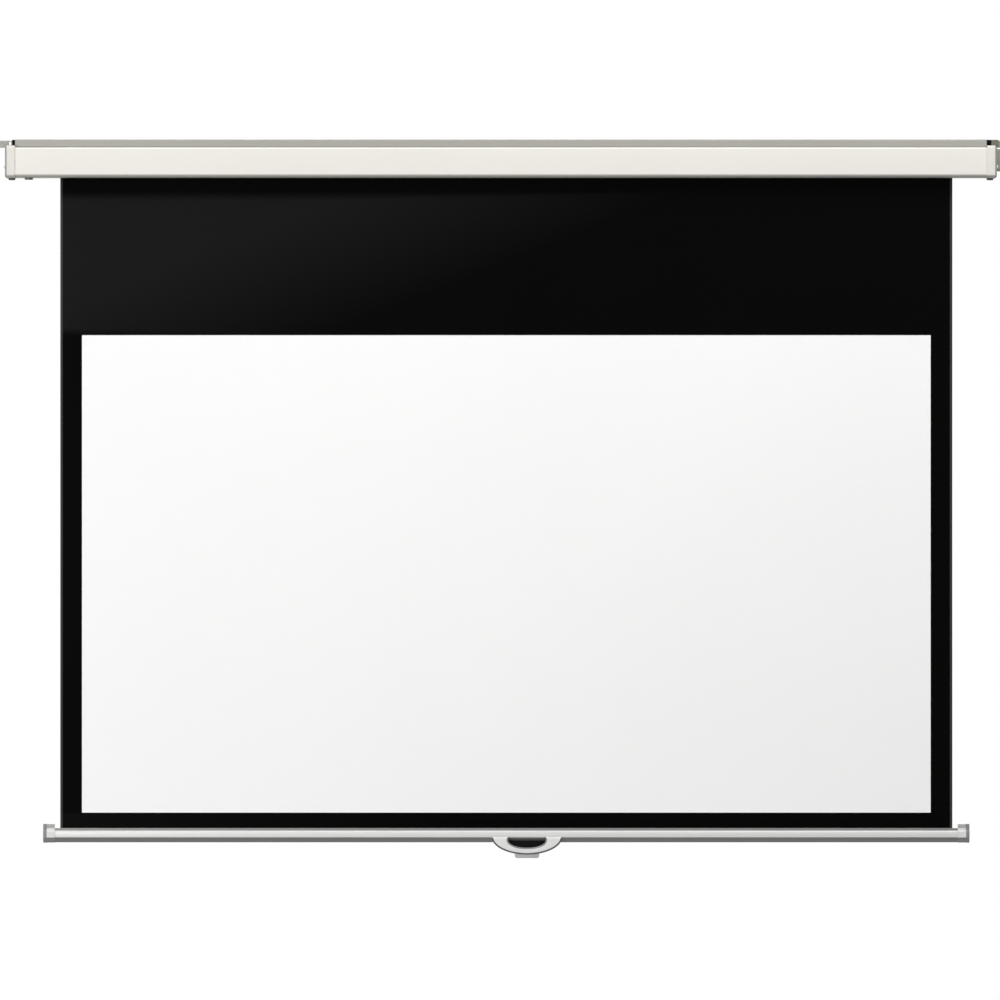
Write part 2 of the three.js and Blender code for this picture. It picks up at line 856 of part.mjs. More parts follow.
function rightRollerPlug() {
  const bore = idlePinRadius + seatGap;
  const end = tubeRight + seatGap;
  return turned([
    [bore, tubeRight - plugHubLength],
    [tubeRadius - tubeWall - seatGap, tubeRight - plugHubLength],
    [tubeRadius - tubeWall - seatGap, end],
    [plugFlangeRadius, end],
    [plugFlangeRadius, end + plugFlangeThickness],
    [bore, end + plugFlangeThickness],
  ]);
}

function idlePin() {
  return rod("x", 0, 0, idlePinRadius, tubeRight - plugHubLength, plateOuter + idlePinPastPlate, roundSteps);
}

function idleBushing() {
  const bore = idlePinRadius + runningGap;
  const face = plateInner - seatGap;
  return turned([
    [bore, face - bushingFlange],
    [bushingFlangeRadius, face - bushingFlange],
    [bushingFlangeRadius, face],
    [bushingRadius, face],
    [bushingRadius, plateOuter],
    [bore, plateOuter],
  ]);
}

// The last turns of fabric, wound inwards over the top from where the hanging sheet leaves the roller
function fabricWraps() {
  const steps = Math.round(woundTurns * windingStepsPerTurn);
  const outer = Array.from({ length: steps + 1 }, (_, i) => {
    const turn = (2 * Math.PI * woundTurns * i) / steps;
    const radius = woundRadius - (windingPitch * turn) / (2 * Math.PI);
    return point(radius * Math.cos(turn), radius * Math.sin(turn));
  });
  const half = fabricWidth / 2;
  return prism("x", shapeOf(bentSheet(outer, fabricThickness)), fabricOffset - half, fabricOffset + half);
}

// The pawl about its pivot, with its nose towards the wheel
function pawlSolid() {
  const nose = point(
    pawlTipRadius * Math.sin(pawlTipAngle),
    pawlTipRadius * Math.cos(pawlTipAngle) - pawlPivotRadius,
  );
  const lean = Math.atan2(nose.y, nose.x);
  const open = Math.asin((pawlEyeRadius - pawlNoseRadius) / nose.length());
  const arc = (centre, radius, from, to) =>
    Array.from({ length: smallSteps / 2 + 1 }, (_, i) => {
      const turn = from + ((to - from) * i) / (smallSteps / 2);
      return point(centre.x + radius * Math.cos(turn), centre.y + radius * Math.sin(turn));
    });
  const side = Math.PI / 2 - open;
  const outline = [
    ...arc(nose, pawlNoseRadius, lean - side, lean + side),
    ...arc(point(0, 0), pawlEyeRadius, lean + side, lean - side + 2 * Math.PI),
  ];
  return prism("x", shapeOf(outline, circle(0, 0, pawlPinRadius + runningGap)), pawlLeft, pawlRight);
}

function pawlPin() {
  const headFace = pawlLeft - pawlPlay;
  return turned(
    [
      [0, headFace - pawlPinHeadHeight],
      [pawlPinHeadRadius, headFace - pawlPinHeadHeight],
      [pawlPinHeadRadius, headFace],
      [pawlPinRadius, headFace],
      [pawlPinRadius, flangeOuter + pawlPinSeat - seatGap],
      [0, flangeOuter + pawlPinSeat - seatGap],
    ],
    smallSteps,
  );
}

// Axle cover over the idle end, a shallow dish fixed to the right end cap

function axleCover() {
  const middle = axisZ + axleCoverRise;
  const dish = (inset, radius) =>
    shapeOf(
      rounded([
        [axisY - axleCoverWidth / 2 + inset, middle - axleCoverHeight / 2 + inset, radius],
        [axisY + axleCoverWidth / 2 - inset, middle - axleCoverHeight / 2 + inset, radius],
        [axisY + axleCoverWidth / 2 - inset, middle + axleCoverHeight / 2 - inset, radius],
        [axisY - axleCoverWidth / 2 + inset, middle + axleCoverHeight / 2 - inset, radius],
      ]),
    );
  const face = caseEnd + seatGap;
  const top = face + axleCoverDepth;
  const shell = cut(
    prism("x", dish(0, axleCoverRadius), face, top),
    prism("x", dish(axleCoverWall, axleCoverRadius - axleCoverWall), face - overrun, top - axleCoverWall),
  );
  const posts = axleCoverScrewPlaces().map(([, y, z]) =>
    rod("x", y, z, axleCoverBoss, face, top - axleCoverWall / 2),
  );
  const holes = axleCoverScrewPlaces().map(([, y, z]) =>
    rod("x", y, z, screwHole, face - overrun, top + overrun),
  );
  return cut(join(shell, ...posts), ...holes);
}

// Fabric, drawn in (x, z) about the fabric's centre line

function screenFabric() {
  const half = fabricWidth / 2;
  return prism("y", shapeOf(rectangle(-half, viewingBottom, half, axisZ)), fabricFace, fabricBack);
}

// Black masking printed on the fabric's face: the drop above the picture and both side borders
function blackMasking() {
  const outer = fabricWidth / 2;
  const inner = viewingWidth / 2;
  const outline = [
    point(-outer, axisZ),
    point(-outer, viewingBottom),
    point(-inner, viewingBottom),
    point(-inner, viewingTop),
    point(inner, viewingTop),
    point(inner, viewingBottom),
    point(outer, viewingBottom),
    point(outer, axisZ),
  ];
  return prism("y", shapeOf(outline), maskFace, fabricFace);
}

// Weight bar pieces, drawn about the fabric's middle plane and the bar's top

// The part of a circle that stays below an opening of the given half width at its top
function openCircle(centre, radius, halfOpening) {
  const start = Math.PI / 2 + Math.asin(halfOpening / radius);
  const sweep = 2 * Math.PI - 2 * Math.asin(halfOpening / radius);
  return Array.from({ length: smallSteps + 1 }, (_, i) => {
    const turn = start + (sweep * i) / smallSteps;
    return point(radius * Math.cos(turn), centre + radius * Math.sin(turn));
  });
}

function barOutline(grow, lipTop) {
  const shoulder = -barLipHeight + grow;
  const front = -barFront - grow;
  const back = barBack + grow;
  const bottom = -barHeight - grow;
  const slant = Math.hypot(barChamferHeight, barChamferDepth);
  const creep = (grow * (slant - barChamferDepth)) / barChamferHeight;
  return [
    point(-barLipHalf - grow, lipTop),
    point(-barLipHalf - grow, shoulder),
    point(-barFront + barShoulder, shoulder),
    point(front, -barLipHeight - barShoulder),
    point(front, barChamferHeight - barHeight - creep),
    point(-barFront + barChamferDepth - creep, bottom),
    point(barBack - barShoulder, bottom),
    point(back, -barHeight + barShoulder),
    point(back, -barLipHeight - barShoulder),
    point(barBack - barShoulder, shoulder),
    point(barLipHalf + grow, shoulder),
    point(barLipHalf + grow, lipTop),
  ];
}

// The hollow below the hem pocket, shrunk all round by inset
function barHollow(inset) {
  const top = hemCentre - hemPocket - barWall - inset;
  const bottom = -barHeight + barWall + inset;
  const chamferTop = barChamferHeight - barHeight;
  const run = (chamferTop - bottom) * (barChamferDepth / barChamferHeight);
  return [
    point(-barFront + barWall + inset, top),
    point(-barFront + barWall + inset, chamferTop),
    point(-barFront + barWall + inset + run, bottom),
    point(barBack - barWall - inset, bottom),
    point(barBack - barWall - inset, top),
  ];
}

function handleScrewPlaces() {
  return [
    ["left", handleFromBarCentre - handleScrewSpread],
    ["right", handleFromBarCentre + handleScrewSpread],
  ];
}

function weightBar() {
  const half = hemSlotWidth / 2;
  const pocket = openCircle(hemCentre, hemPocket, half);
  const outline = [...barOutline(0, 0), point(half, 0), ...pocket.reverse(), point(-half, 0)];
  const bar = prism("x", shapeOf(outline, barHollow(0)), -barLength / 2, barLength / 2);
  const holes = handleScrewPlaces().map(([, x]) =>
    rod("y", x, handleScrewZ, screwHole, -barFront - overrun, barBack + overrun),
  );
  return cut(bar, ...holes);
}

function barCapSolid() {
  const start = barLength / 2 + seatGap;
  const outline = barOutline(barCapLip, barCapRise);
  const cap = prism("x", shapeOf(outline), start, start + barCapLength, barCapBevel);
  const tongue = prism("x", shapeOf(barHollow(seatGap)), start - barCapTongue, start + barCapBevel + overrun);
  return join(cap, tongue);
}

// Black border below the picture, whose hem is sewn round the rod in the bar
function bottomBorderSolid() {
  const half = fabricThickness / 2;
  const loop = openCircle(hemCentre, hemLoopOuter, half);
  const outline = [point(half, bottomBorder), point(-half, bottomBorder), ...loop];
  const border = shapeOf(outline, circle(0, hemCentre, hemLoopInner));
  return prism("x", border, -fabricWidth / 2, fabricWidth / 2);
}

function hemRod() {
  return rod("x", 0, hemCentre, hemRodRadius, -fabricWidth / 2, fabricWidth / 2);
}

// Half an ellipse that hangs from the line z = top, from its right end round to its left end
function hangingArc(halfWidth, depth, top, from, to) {
  return Array.from({ length: handleSteps + 1 }, (_, i) => {
    const turn = from + ((to - from) * i) / handleSteps;
    return point(halfWidth * Math.cos(turn), top - depth * Math.sin(turn));
  });
}

// The grip's opening, shrunk all round by inset
function handleOpening(inset) {
  const top = handleTop - handleInnerTop;
  return hangingArc(handleInnerHalfWidth - inset, handleInnerDepth - inset, top, 0, Math.PI);
}

function handleRing() {
  const tabTurn = Math.acos(handleTabHalfWidth / handleHalfWidth);
  const tabBottom = handleTop - handleTabBottom;
  const tab = rounded(
    [
      [handleTabHalfWidth, handleTop - handleDepth],
      [handleTabHalfWidth, tabBottom, handleTabRadius],
      [-handleTabHalfWidth, tabBottom, handleTabRadius],
      [-handleTabHalfWidth, handleTop - handleDepth],
    ],
    false,
  );
  const outline = [
    ...hangingArc(handleHalfWidth, handleDepth, handleTop, 0, tabTurn),
    ...tab.slice(1, -1),
    ...hangingArc(handleHalfWidth, handleDepth, handleTop, Math.PI - tabTurn, Math.PI),
    point(-handleInnerHalfWidth, handleTop),
    ...handleOpening(0).reverse(),
    point(handleInnerHalfWidth, handleTop),
  ];
  const front = -barFront - handleInFront;
  const ring = prism("y", shapeOf(outline), front, front + handleThickness, handleBevel);
  const bar = prism("x", shapeOf(barOutline(seatGap, 0)), -2 * handleHalfWidth, 2 * handleHalfWidth);
  const bites = [-1, 1].map((side) =>
    rod("y", side * handleScrewSpread, handleScrewZ, screwHole, handleScrewTip() - seatGap, barBack),
  );
  return cut(ring, bar, ...bites);
}

function handleScrewTip() {
  return -barFront - handleScrewBite;
}

function handlePanel() {
  const back = handleThickness - barFront - handleInFront - handlePanelInset;
  return prism("y", shapeOf(handleOpening(seatGap)), back - handlePanelThickness, back);
}

// Assembly

const screen = new THREE.Group();
const lockGroup = new THREE.Group();
const rollerGroup = new THREE.Group();
const fabricGroup = new THREE.Group();
const barGroup = new THREE.Group();
const handleGroup = new THREE.Group();
lockGroup.position.set(0, axisY, axisZ);
rollerGroup.position.set(0, axisY, axisZ);
fabricGroup.position.set(fabricOffset, 0, 0);
barGroup.position.set(fabricOffset, fabricMiddle, barTop);
handleGroup.position.set(handleFromBarCentre, 0, 0);
barGroup.add(handleGroup);
screen.add(lockGroup, rollerGroup, fabricGroup, barGroup);

function place(x, y, z) {
  return new THREE.Vector3(x, y, z);
}

function buildCase() {
  piece(screen, "back_channel", backChannel(), creamPaint);
  piece(screen, "front_cover", frontCover(), creamPaint);
  piece(screen, "top_rail", topRail(), grayPaint);
  piece(screen, "left_end_plate", leftEndPlate(), zincSteel);
  piece(screen, "right_end_plate", rightEndPlate(), zincSteel);
  piece(screen, "right_axle_cover", axleCover(), grayPaint);
  for (const [side, name] of [[-1, "left"], [1, "right"]]) {
    const facing = (solid) => (side < 0 ? solid.mirror(unitX.toArray()) : solid);
    piece(screen, `${name}_end_cap`, endCapSolid(side), creamPaint);
    const plugFlange = side < 0 ? leftRailPlugFlange : rightRailPlugFlange;
    piece(screen, `${name}_rail_plug`, facing(railPlugSolid(plugFlange)), blackPlastic);
    piece(screen, `${name}_hanger_bracket`, facing(bracketSolid()), grayPaint);
    const footX = side * (caseEnd - footFromEnd);
    foot(`${name}_cap_foot`, footRadius, footStemLength, footX, shellBottom - capDrop, blackRubber);
  }
}

function buildCaseScrews() {
  const inwards = { left: unitX, right: unitX.clone().negate() };
  const capLengthToPlate = capLength + plateThickness;
  for (const [side, name] of [[-1, "left"], [1, "right"]]) {
    for (const [level, y, z] of capScrewPlaces()) {
      const seat = place(side * (caseEnd + seatGap), y, z);
      screw(screen, `${name}_cap_screw_${level}`, zincSteel, capLengthToPlate, seat, inwards[name]);
    }
    for (const [end, x] of bracketScrewPlaces()) {
      const seat = place(side * x, railBack - railWall - seatGap, bracketMiddle());
      const grip = railWall + bracketThickness;
      screw(screen, `${name}_bracket_screw_${end}`, zincSteel, grip, seat, unitY);
    }
  }
  for (const [level, y, z] of axleCoverScrewPlaces()) {
    const seat = place(caseEnd + axleCoverDepth + 2 * seatGap, y, z);
    const grip = axleCoverDepth + capWall + screwBite / 2;
    screw(screen, `axle_cover_screw_${level}`, zincSteel, grip, seat, inwards.right);
  }
  for (const [name, x] of railScrewPlaces()) {
    const seat = place(x, -railScrewFromWall, railFloor + railWall + seatGap);
    screw(screen, `rail_screw_${name}`, zincSteel, railWall + 2 * shellWall, seat, unitZ.clone().negate());
  }
  foot("clamp_screw", clampHeadRadius, shellWall + screwBite, -blockCentreX(), shellBottom, darkSteel);
}

function buildSpindleAndLock() {
  piece(lockGroup, "spring_spindle", spindleSolid(), zincSteel);
  piece(lockGroup, "spindle_clip", spindleClip(), darkSteel);
  piece(lockGroup, "spindle_block", spindleBlock(), blackPlastic);
  piece(lockGroup, "ratchet_wheel", ratchetWheel(), darkSteel);
  const collar = sleeve(collarRadius, spindleRadius + seatGap, collarLeft, collarLeft + collarLength);
  piece(lockGroup, "spring_collar", collar, blackPlastic);
  piece(lockGroup, "torsion_spring", torsionSpring(), darkSteel);
  piece(lockGroup, "idle_bushing", idleBushing(), whiteNylon);
}

function buildRoller() {
  piece(rollerGroup, "roller_tube", rollerTube(), silverAluminium);
  piece(rollerGroup, "left_roller_plug", leftRollerPlug(), blackPlastic);
  piece(rollerGroup, "right_roller_plug", rightRollerPlug(), blackPlastic);
  piece(rollerGroup, "idle_pin", idlePin(), zincSteel);
  const springPlugRadius = tubeRadius - tubeWall - seatGap;
  const springPlugEnd = springPlugLeft + springPlugLength;
  const springPlug = sleeve(springPlugRadius, spindleRadius + runningGap, springPlugLeft, springPlugEnd);
  piece(rollerGroup, "spring_plug", springPlug, blackPlastic);
  piece(rollerGroup, "fabric_wraps", fabricWraps(), blackMask);
  for (const [side, name] of [[1, "upper"], [-1, "lower"]]) {
    const pin = piece(rollerGroup, `${name}_pawl_pin`, pawlPin(), zincSteel);
    pin.position.z = side * pawlPivotRadius;
    const pawl = piece(rollerGroup, `${name}_pawl`, pawlSolid(), darkSteel);
    pawl.position.z = side * pawlPivotRadius;
    pawl.rotation.x = side < 0 ? Math.PI + pawlOpenAngle : 0;
  }
}

function buildFabric() {
  piece(fabricGroup, "screen_fabric", screenFabric(), whiteScreen);
  piece(fabricGroup, "black_masking", blackMasking(), blackMask);
}

function buildWeightBar() {
  piece(barGroup, "weight_bar", weightBar(), silverAluminium);
  piece(barGroup, "bar_right_cap", barCapSolid(), silverPlastic);
  piece(barGroup, "bar_left_cap", barCapSolid().mirror(unitX.toArray()), silverPlastic);
  piece(barGroup, "bottom_border", bottomBorderSolid(), blackMask);
  piece(barGroup, "hem_rod", hemRod(), whiteNylon);
  piece(handleGroup, "handle_ring", handleRing(), whiteGloss);
  piece(handleGroup, "handle_panel", handlePanel(), blackPlastic);
  for (const [name, x] of handleScrewPlaces()) {
    const length = barBack + seatGap - handleScrewTip();
    const seat = place(x, barBack + seatGap, handleScrewZ);
    screw(barGroup, `handle_screw_${name}`, zincSteel, length, seat, unitY.clone().negate());
  }
}

buildCase();
buildCaseScrews();
buildSpindleAndLock();
buildRoller();
buildFabric();
buildWeightBar();

export default screen;
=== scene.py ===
"""Looks of a pull down projector screen: finishes, fine pieces, fabric, light and camera."""

import json
import math

import bmesh
import bpy
from mathutils import Matrix, Vector

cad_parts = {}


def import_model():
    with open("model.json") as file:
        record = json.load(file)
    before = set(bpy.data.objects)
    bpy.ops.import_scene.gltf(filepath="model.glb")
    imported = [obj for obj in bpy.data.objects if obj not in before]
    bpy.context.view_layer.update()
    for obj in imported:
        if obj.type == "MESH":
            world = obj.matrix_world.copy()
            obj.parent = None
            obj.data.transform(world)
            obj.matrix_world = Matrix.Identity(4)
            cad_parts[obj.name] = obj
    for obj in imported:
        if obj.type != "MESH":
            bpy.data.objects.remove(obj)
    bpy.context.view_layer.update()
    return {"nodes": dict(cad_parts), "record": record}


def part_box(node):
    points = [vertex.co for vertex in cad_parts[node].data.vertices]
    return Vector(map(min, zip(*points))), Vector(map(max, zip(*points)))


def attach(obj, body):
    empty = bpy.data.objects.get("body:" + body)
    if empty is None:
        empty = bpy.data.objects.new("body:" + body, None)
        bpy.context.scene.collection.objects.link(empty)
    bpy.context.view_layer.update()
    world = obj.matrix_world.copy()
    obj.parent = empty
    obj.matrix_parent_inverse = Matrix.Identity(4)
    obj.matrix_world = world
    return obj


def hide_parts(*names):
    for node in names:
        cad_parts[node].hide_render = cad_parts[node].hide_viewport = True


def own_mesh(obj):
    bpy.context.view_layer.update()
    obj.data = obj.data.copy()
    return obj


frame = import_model()
nodes = frame["nodes"]

# Pieces that come at both ends, by the sign of their X
END_CAPS = {-1: "left_end_cap", 1: "right_end_cap"}
BRACKETS = {-1: "left_hanger_bracket", 1: "right_hanger_bracket"}
BAR_CAPS = {-1: "bar_left_cap", 1: "bar_right_cap"}

# Sizes that the boxes of the CAD nodes don't give, in metres, with a few shares of them and a count of turns
SMALL_GAP = 0.0003
FINE_EDGE = 0.0002
SHEET_WALL = 0.001
BEND_RADIUS = SHEET_WALL + SMALL_GAP
SHELL_UPPER_RADIUS = 0.004
SHELL_LOWER_RADIUS = 0.010
SHELL_LIP = 0.006
SEAM_FROM_WALL = 0.050
CAP_UPPER_RADIUS = 0.005
CAP_BEVEL = 0.0045
CAP_WALL = 0.0025
RAIL_WALL = 0.002
RAIL_RADIUS = 0.0035
RAIL_SLOT = 0.010
RAIL_LIP = 0.005
RAIL_LIP_RADIUS = 0.0024
RAIL_EDGE = 0.0003
PLUG_CORE = 0.0115
BRACKET_RADIUS = 0.004
BRACKET_HOLE_RADIUS = 0.0026
BRACKET_NOTCH_RADIUS = BRACKET_HOLE_RADIUS / 4
BRACKET_SLOT_FROM_CASE_END = 0.0095
BRACKET_SLOT_MARGIN = 0.0025
BRACKET_HOLE_SPACING = 0.036
BRACKET_EDGE = 0.0004
CAP_TO_BRACKET = 0.0003
COVER_RADIUS = 0.005
COVER_ROUND = 0.0015
FOOT_ROUND = 0.0012
FOOT_ARC_SHARE = 0.3
FOOT_STEM_SHARE = 0.2
FOOT_DISH_SHARE = 0.45
BAR_LIP_HALF = 0.006
BAR_LIP_HEIGHT = 0.0058
BAR_SHOULDER = 0.003
BAR_SHOULDER_RADIUS = 0.0012
BAR_CHAMFER_HEIGHT = 0.012
BAR_CHAMFER_DEPTH = 0.008
BAR_CORNER_RADIUS = 0.0022
BAR_WALL = 0.002
BAR_CROWN = 0.0006
BAR_CAP_RISE = 0.010
BAR_CAP_LIP = 0.001
BAR_CAP_ROUND = 0.0016
BAR_CAP_PLATE = 0.0085
BAR_CAP_STEP = 0.0004
HEM_SLOT = 0.003
HEM_ROD_DROP = 0.010
HEM_POCKET_RADIUS = 0.0042
HANDLE_DEPTH = 0.043
HANDLE_INNER_HALF = 0.0444
HANDLE_INNER_TOP = 0.009
HANDLE_INNER_DEPTH = 0.017
HANDLE_ROUND = 0.0062
HANDLE_CORNER = 0.0088
HANDLE_TAB_HALF = 0.0294
HANDLE_TAB_RADIUS = 0.006
HANDLE_TAB_THICKNESS = 0.007
HANDLE_TAB_SETBACK = 0.0035
HANDLE_CUT_OVERRUN = 0.02
FABRIC_THICKNESS = 0.0006
FABRIC_EDGE = 0.00005
VIEWING_WIDTH = 2.037
VIEWING_HEIGHT = 1.146
SELVEDGE = 0.006
HEM_GAP = 0.00001
WINDING_GAP = 0.0005
WINDING_TURNS = 1.75
WELD_DISTANCE = 0.000001

# How far past its inner face a capped prism starts before it is cut, in rounds of its edge
TRIM_REACH = 3

# Waves of the fabric: radians from its middle to a side and from its top to its bottom, and heights in metres
SLOW_WAVE = (7.0, 2.2)
SLOW_WAVE_HEIGHT = 0.0009
QUICK_WAVE = (19.0, -5.0)
QUICK_WAVE_HEIGHT = 0.0004
SIDE_CURL = 0.0018
SIDE_CURL_POWER = 24

# Painted sheen of the black drop: the direction in which it grows, and where it grows and fades in metres
SHEEN_SLOPE = (-0.376, 0.0, 0.927)
SHEEN_RUN = (-0.24, 0.06)
SHEEN_TOP = -0.08
SHEEN_FADE = 0.02

# Where a tone starts or ends, as a part of a face's unit normal. Most tones are painted shade or a painted
# highlight
TURNING = 0.2
UNDER = 0.35
UPPER_EDGE_FRONT = 0.1
UPPER_EDGE_UP = 0.15
CAP_END = 0.97
CHAMFER = 0.25
FACING = 0.5
RING_FACE = 0.93
TAB_FACE = 0.99

# A little past the ring's own outline, where 1 is on it
RING_OUTSIDE_SHARE = 1.001

# Smoothness
CORNER_STEPS = 12
BAR_CORNER_STEPS = 5
BAR_CAP_CORNER_STEPS = 6
ROUND_STEPS = 64
SMALL_ROUND_STEPS = 40
CROWN_STEPS = 8
WINDING_STEPS = 96
EDGE_STEPS = 3
CAP_EDGE_STEPS = 5
HANDLE_EDGE_STEPS = 8
FABRIC_EDGE_STEPS = 1
SIDE_COLUMNS = 7
VIEW_COLUMNS = 110
VIEW_ROWS = 60
DROP_ROWS = 22
GRID_DECIMALS = 7
SMOOTH_ANGLE = math.radians(32)
FABRIC_SMOOTH_ANGLE = math.radians(50)

# Places that several pieces share
shell_low, shell_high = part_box("front_cover")
fabric_low, fabric_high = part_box("screen_fabric")
bar_low, bar_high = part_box("weight_bar")
ring_low, ring_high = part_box("handle_ring")
fabric_middle = (fabric_low[1] + fabric_high[1]) / 2
fabric_centre = (fabric_low[0] + fabric_high[0]) / 2
ring_centre = (ring_low[0] + ring_high[0]) / 2
view_top = fabric_low[2] + VIEWING_HEIGHT


def ends(low, high, side):
    """The inner and the outer end in X of a box at one side of the object."""
    return (low[0], high[0]) if side > 0 else (high[0], low[0])


# Outlines, lists of points in the two axes of a section

def circle(a, b, radius, steps=SMALL_ROUND_STEPS):
    turns = [2 * math.pi * i / steps for i in range(steps)]
    return [(a + radius * math.cos(turn), b + radius * math.sin(turn)) for turn in turns]


def oblong(a, bottom, top, radius):
    """An upright slot with round ends."""
    ring = circle(0, 0, radius)
    return [(a + u, v + (top - radius if v > 0 else bottom + radius)) for u, v in ring]


def rounded(corners, closed=True, steps=CORNER_STEPS):
    """Turns the corners of an outline into arcs. A corner is (a, b) or (a, b, radius)."""
    outline = []
    last = len(corners) - 1
    for i, corner in enumerate(corners):
        here = Vector(corner[:2])
        radius = corner[2] if len(corner) > 2 else 0
        if not radius or (not closed and i in (0, last)):
            outline.append(tuple(here))
            continue
        before = (Vector(corners[i - 1][:2]) - here).normalized()
        after = (Vector(corners[(i + 1) % len(corners)][:2]) - here).normalized()
        half = before.angle(after) / 2
        centre = here + (before + after).normalized() * radius / math.sin(half)
        start = here + before * radius / math.tan(half) - centre
        end = here + after * radius / math.tan(half) - centre
        sweep = start.angle_signed(end)
        for step in range(steps + 1):
            turn = Matrix.Rotation(-sweep * step / steps, 2)
            outline.append(tuple(centre + turn @ start))
    return outline


def bent_sheet(path, wall):
    """The section of a bent sheet whose outer face follows the open path, with the sheet on its left."""
    points = [Vector(p) for p in path]

    def left_of(start, end):
        along = (end - start).normalized()
        return Vector((-along.y, along.x))

    inner = []
    last = len(points) - 1
    for i, here in enumerate(points):
        before = left_of(points[max(i - 1, 0)], points[max(i, 1)])
        after = left_of(points[min(i, last - 1)], points[min(i + 1, last)])
        inner.append(tuple(here + (before + after) / (1 + before.dot(after)) * wall))
    return [tuple(p) for p in points] + inner[::-1]


# Meshes

AXES = {
    "x": Matrix(((0, 0, 1), (1, 0, 0), (0, 1, 0))).to_4x4(),
    "y": Matrix(((1, 0, 0), (0, 0, -1), (0, 1, 0))).to_4x4(),
}


def add_object(name, data):
    piece = bpy.data.objects.new(name, data)
    bpy.context.scene.collection.objects.link(piece)
    return piece


def smooth(mesh, angle=SMOOTH_ANGLE):
    for polygon in mesh.polygons:
        polygon.use_smooth = True
    mesh.set_sharp_from_angle(angle=angle)


def weld(mesh):
    work = bmesh.new()
    work.from_mesh(mesh)
    bmesh.ops.remove_doubles(work, verts=work.verts, dist=WELD_DISTANCE)
    bmesh.ops.recalc_face_normals(work, faces=work.faces)
    work.to_mesh(mesh)
    work.free()


def prism(name, axis, loops, low, high, edge, steps=EDGE_STEPS):
    """A solid along an axis with rounded edges. The first loop is its outline and the rest are holes."""
    curve = bpy.data.curves.new(name, "CURVE")
    curve.dimensions = "2D"
    curve.fill_mode = "BOTH"
    curve.extrude = (high - low) / 2 - edge
    curve.bevel_depth = edge
    curve.bevel_resolution = steps
    curve.offset = -edge
    for loop in loops:
        spline = curve.splines.new("POLY")
        spline.points.add(len(loop) - 1)
        for target, (a, b) in zip(spline.points, loop):
            target.co = (a, b, 0, 1)
        spline.use_cyclic_u = True
    carrier = add_object(f"{name}_curve", curve)
    graph = bpy.context.evaluated_depsgraph_get()
    mesh = bpy.data.meshes.new_from_object(carrier.evaluated_get(graph))
    bpy.data.objects.remove(carrier)
    mesh.name = name
    flip = -1 if axis == "y" else 1
    shift = Matrix.Translation((0, 0, flip * (low + high) / 2))
    mesh.transform(AXES[axis] @ shift)
    weld(mesh)
    smooth(mesh)
    return add_object(name, mesh)


def turned(name, profile, foot_point):
    """A solid turned round an upright axis. The profile is (radius, height), from the axis to the axis."""
    work = bmesh.new()
    rings = []
    for radius, height in profile:
        if radius == 0:
            rings.append([work.verts.new((0, 0, height))])
            continue
        rings.append([work.verts.new((a, b, height)) for a, b in circle(0, 0, radius, ROUND_STEPS)])
    for lower, upper in zip(rings, rings[1:]):
        for i in range(ROUND_STEPS):
            corners = [lower[i % len(lower)], lower[(i + 1) % len(lower)]]
            corners += [upper[(i + 1) % len(upper)], upper[i % len(upper)]]
            work.faces.new(list(dict.fromkeys(corners)))
    bmesh.ops.recalc_face_normals(work, faces=work.faces)
    mesh = bpy.data.meshes.new(name)
    work.to_mesh(mesh)
    work.free()
    mesh.transform(Matrix.Translation(foot_point))
    smooth(mesh)
    return add_object(name, mesh)


def carve(piece, tool, operation="DIFFERENCE"):
    """Cuts the tool out of the piece, or joins it, and removes the tool."""
    modifier = piece.modifiers.new("carve", "BOOLEAN")
    modifier.operation = operation
    modifier.object = tool
    modifier.solver = "EXACT"
    graph = bpy.context.evaluated_depsgraph_get()
    mesh = bpy.data.meshes.new_from_object(piece.evaluated_get(graph))
    piece.modifiers.clear()
    piece.data = mesh
    bpy.data.objects.remove(tool)
    smooth(mesh)
    return piece


def capped_prism(name, outline, inner, outer, round_edge):
    """A solid along X from a flat inner face to an outer face with a rounded rim. It starts longer and is cut
    at the inner face."""
    side = 1 if outer > inner else -1
    beyond = inner - side * TRIM_REACH * round_edge
    piece = prism(name, "x", [outline], *sorted((beyond, outer)), round_edge, CAP_EDGE_STEPS)
    across, up = zip(*outline)
    left, right = min(across) - round_edge, max(across) + round_edge
    bottom, top = min(up) - round_edge, max(up) + round_edge
    corners = [(left, bottom), (right, bottom), (right, top), (left, top)]
    trim_ends = sorted((beyond - side * round_edge, inner))
    return carve(piece, prism("trim", "x", [corners], *trim_ends, SMALL_GAP / 3))


def stand_for(piece, node, material, body):
    piece.data.materials.clear()
    piece.data.materials.append(material)
    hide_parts(node)
    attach(piece, body)


def toned(piece, pick, *others):
    """Gives each face a tone: where pick gives 0 or False its own, and otherwise the other of that number."""
    for material in others:
        piece.data.materials.append(material)
    for face in piece.data.polygons:
        face.material_index = int(pick(face))


# Shader nodes

MIX_INPUTS = (6, 7)
MIX_OUTPUT = 2
EDGE_POINTINESS = (0.53, 0.6)
SOLID_PART_OF_MARGIN = 0.9


def shader_of(name, roughness, metallic=0.0, **sockets):
    material = bpy.data.materials.new(name)
    material.use_nodes = True
    shader = material.node_tree.nodes["Principled BSDF"]
    shader.inputs["Roughness"].default_value = roughness
    shader.inputs["Metallic"].default_value = metallic
    for socket, value in sockets.items():
        shader.inputs[socket.replace("_", " ")].default_value = value
    return material, material.node_tree, shader


def feed(tree, socket, value):
    """Links another socket to a socket, or sets it to a number or a colour."""
    if hasattr(value, "links"):
        tree.links.new(value, socket)
    else:
        socket.default_value = (*value, 1) if socket.type == "RGBA" else value


def maths(tree, operation, *values):
    node = tree.nodes.new("ShaderNodeMath")
    node.operation = operation
    for socket, value in zip(node.inputs, values):
        feed(tree, socket, value)
    return node.outputs[0]


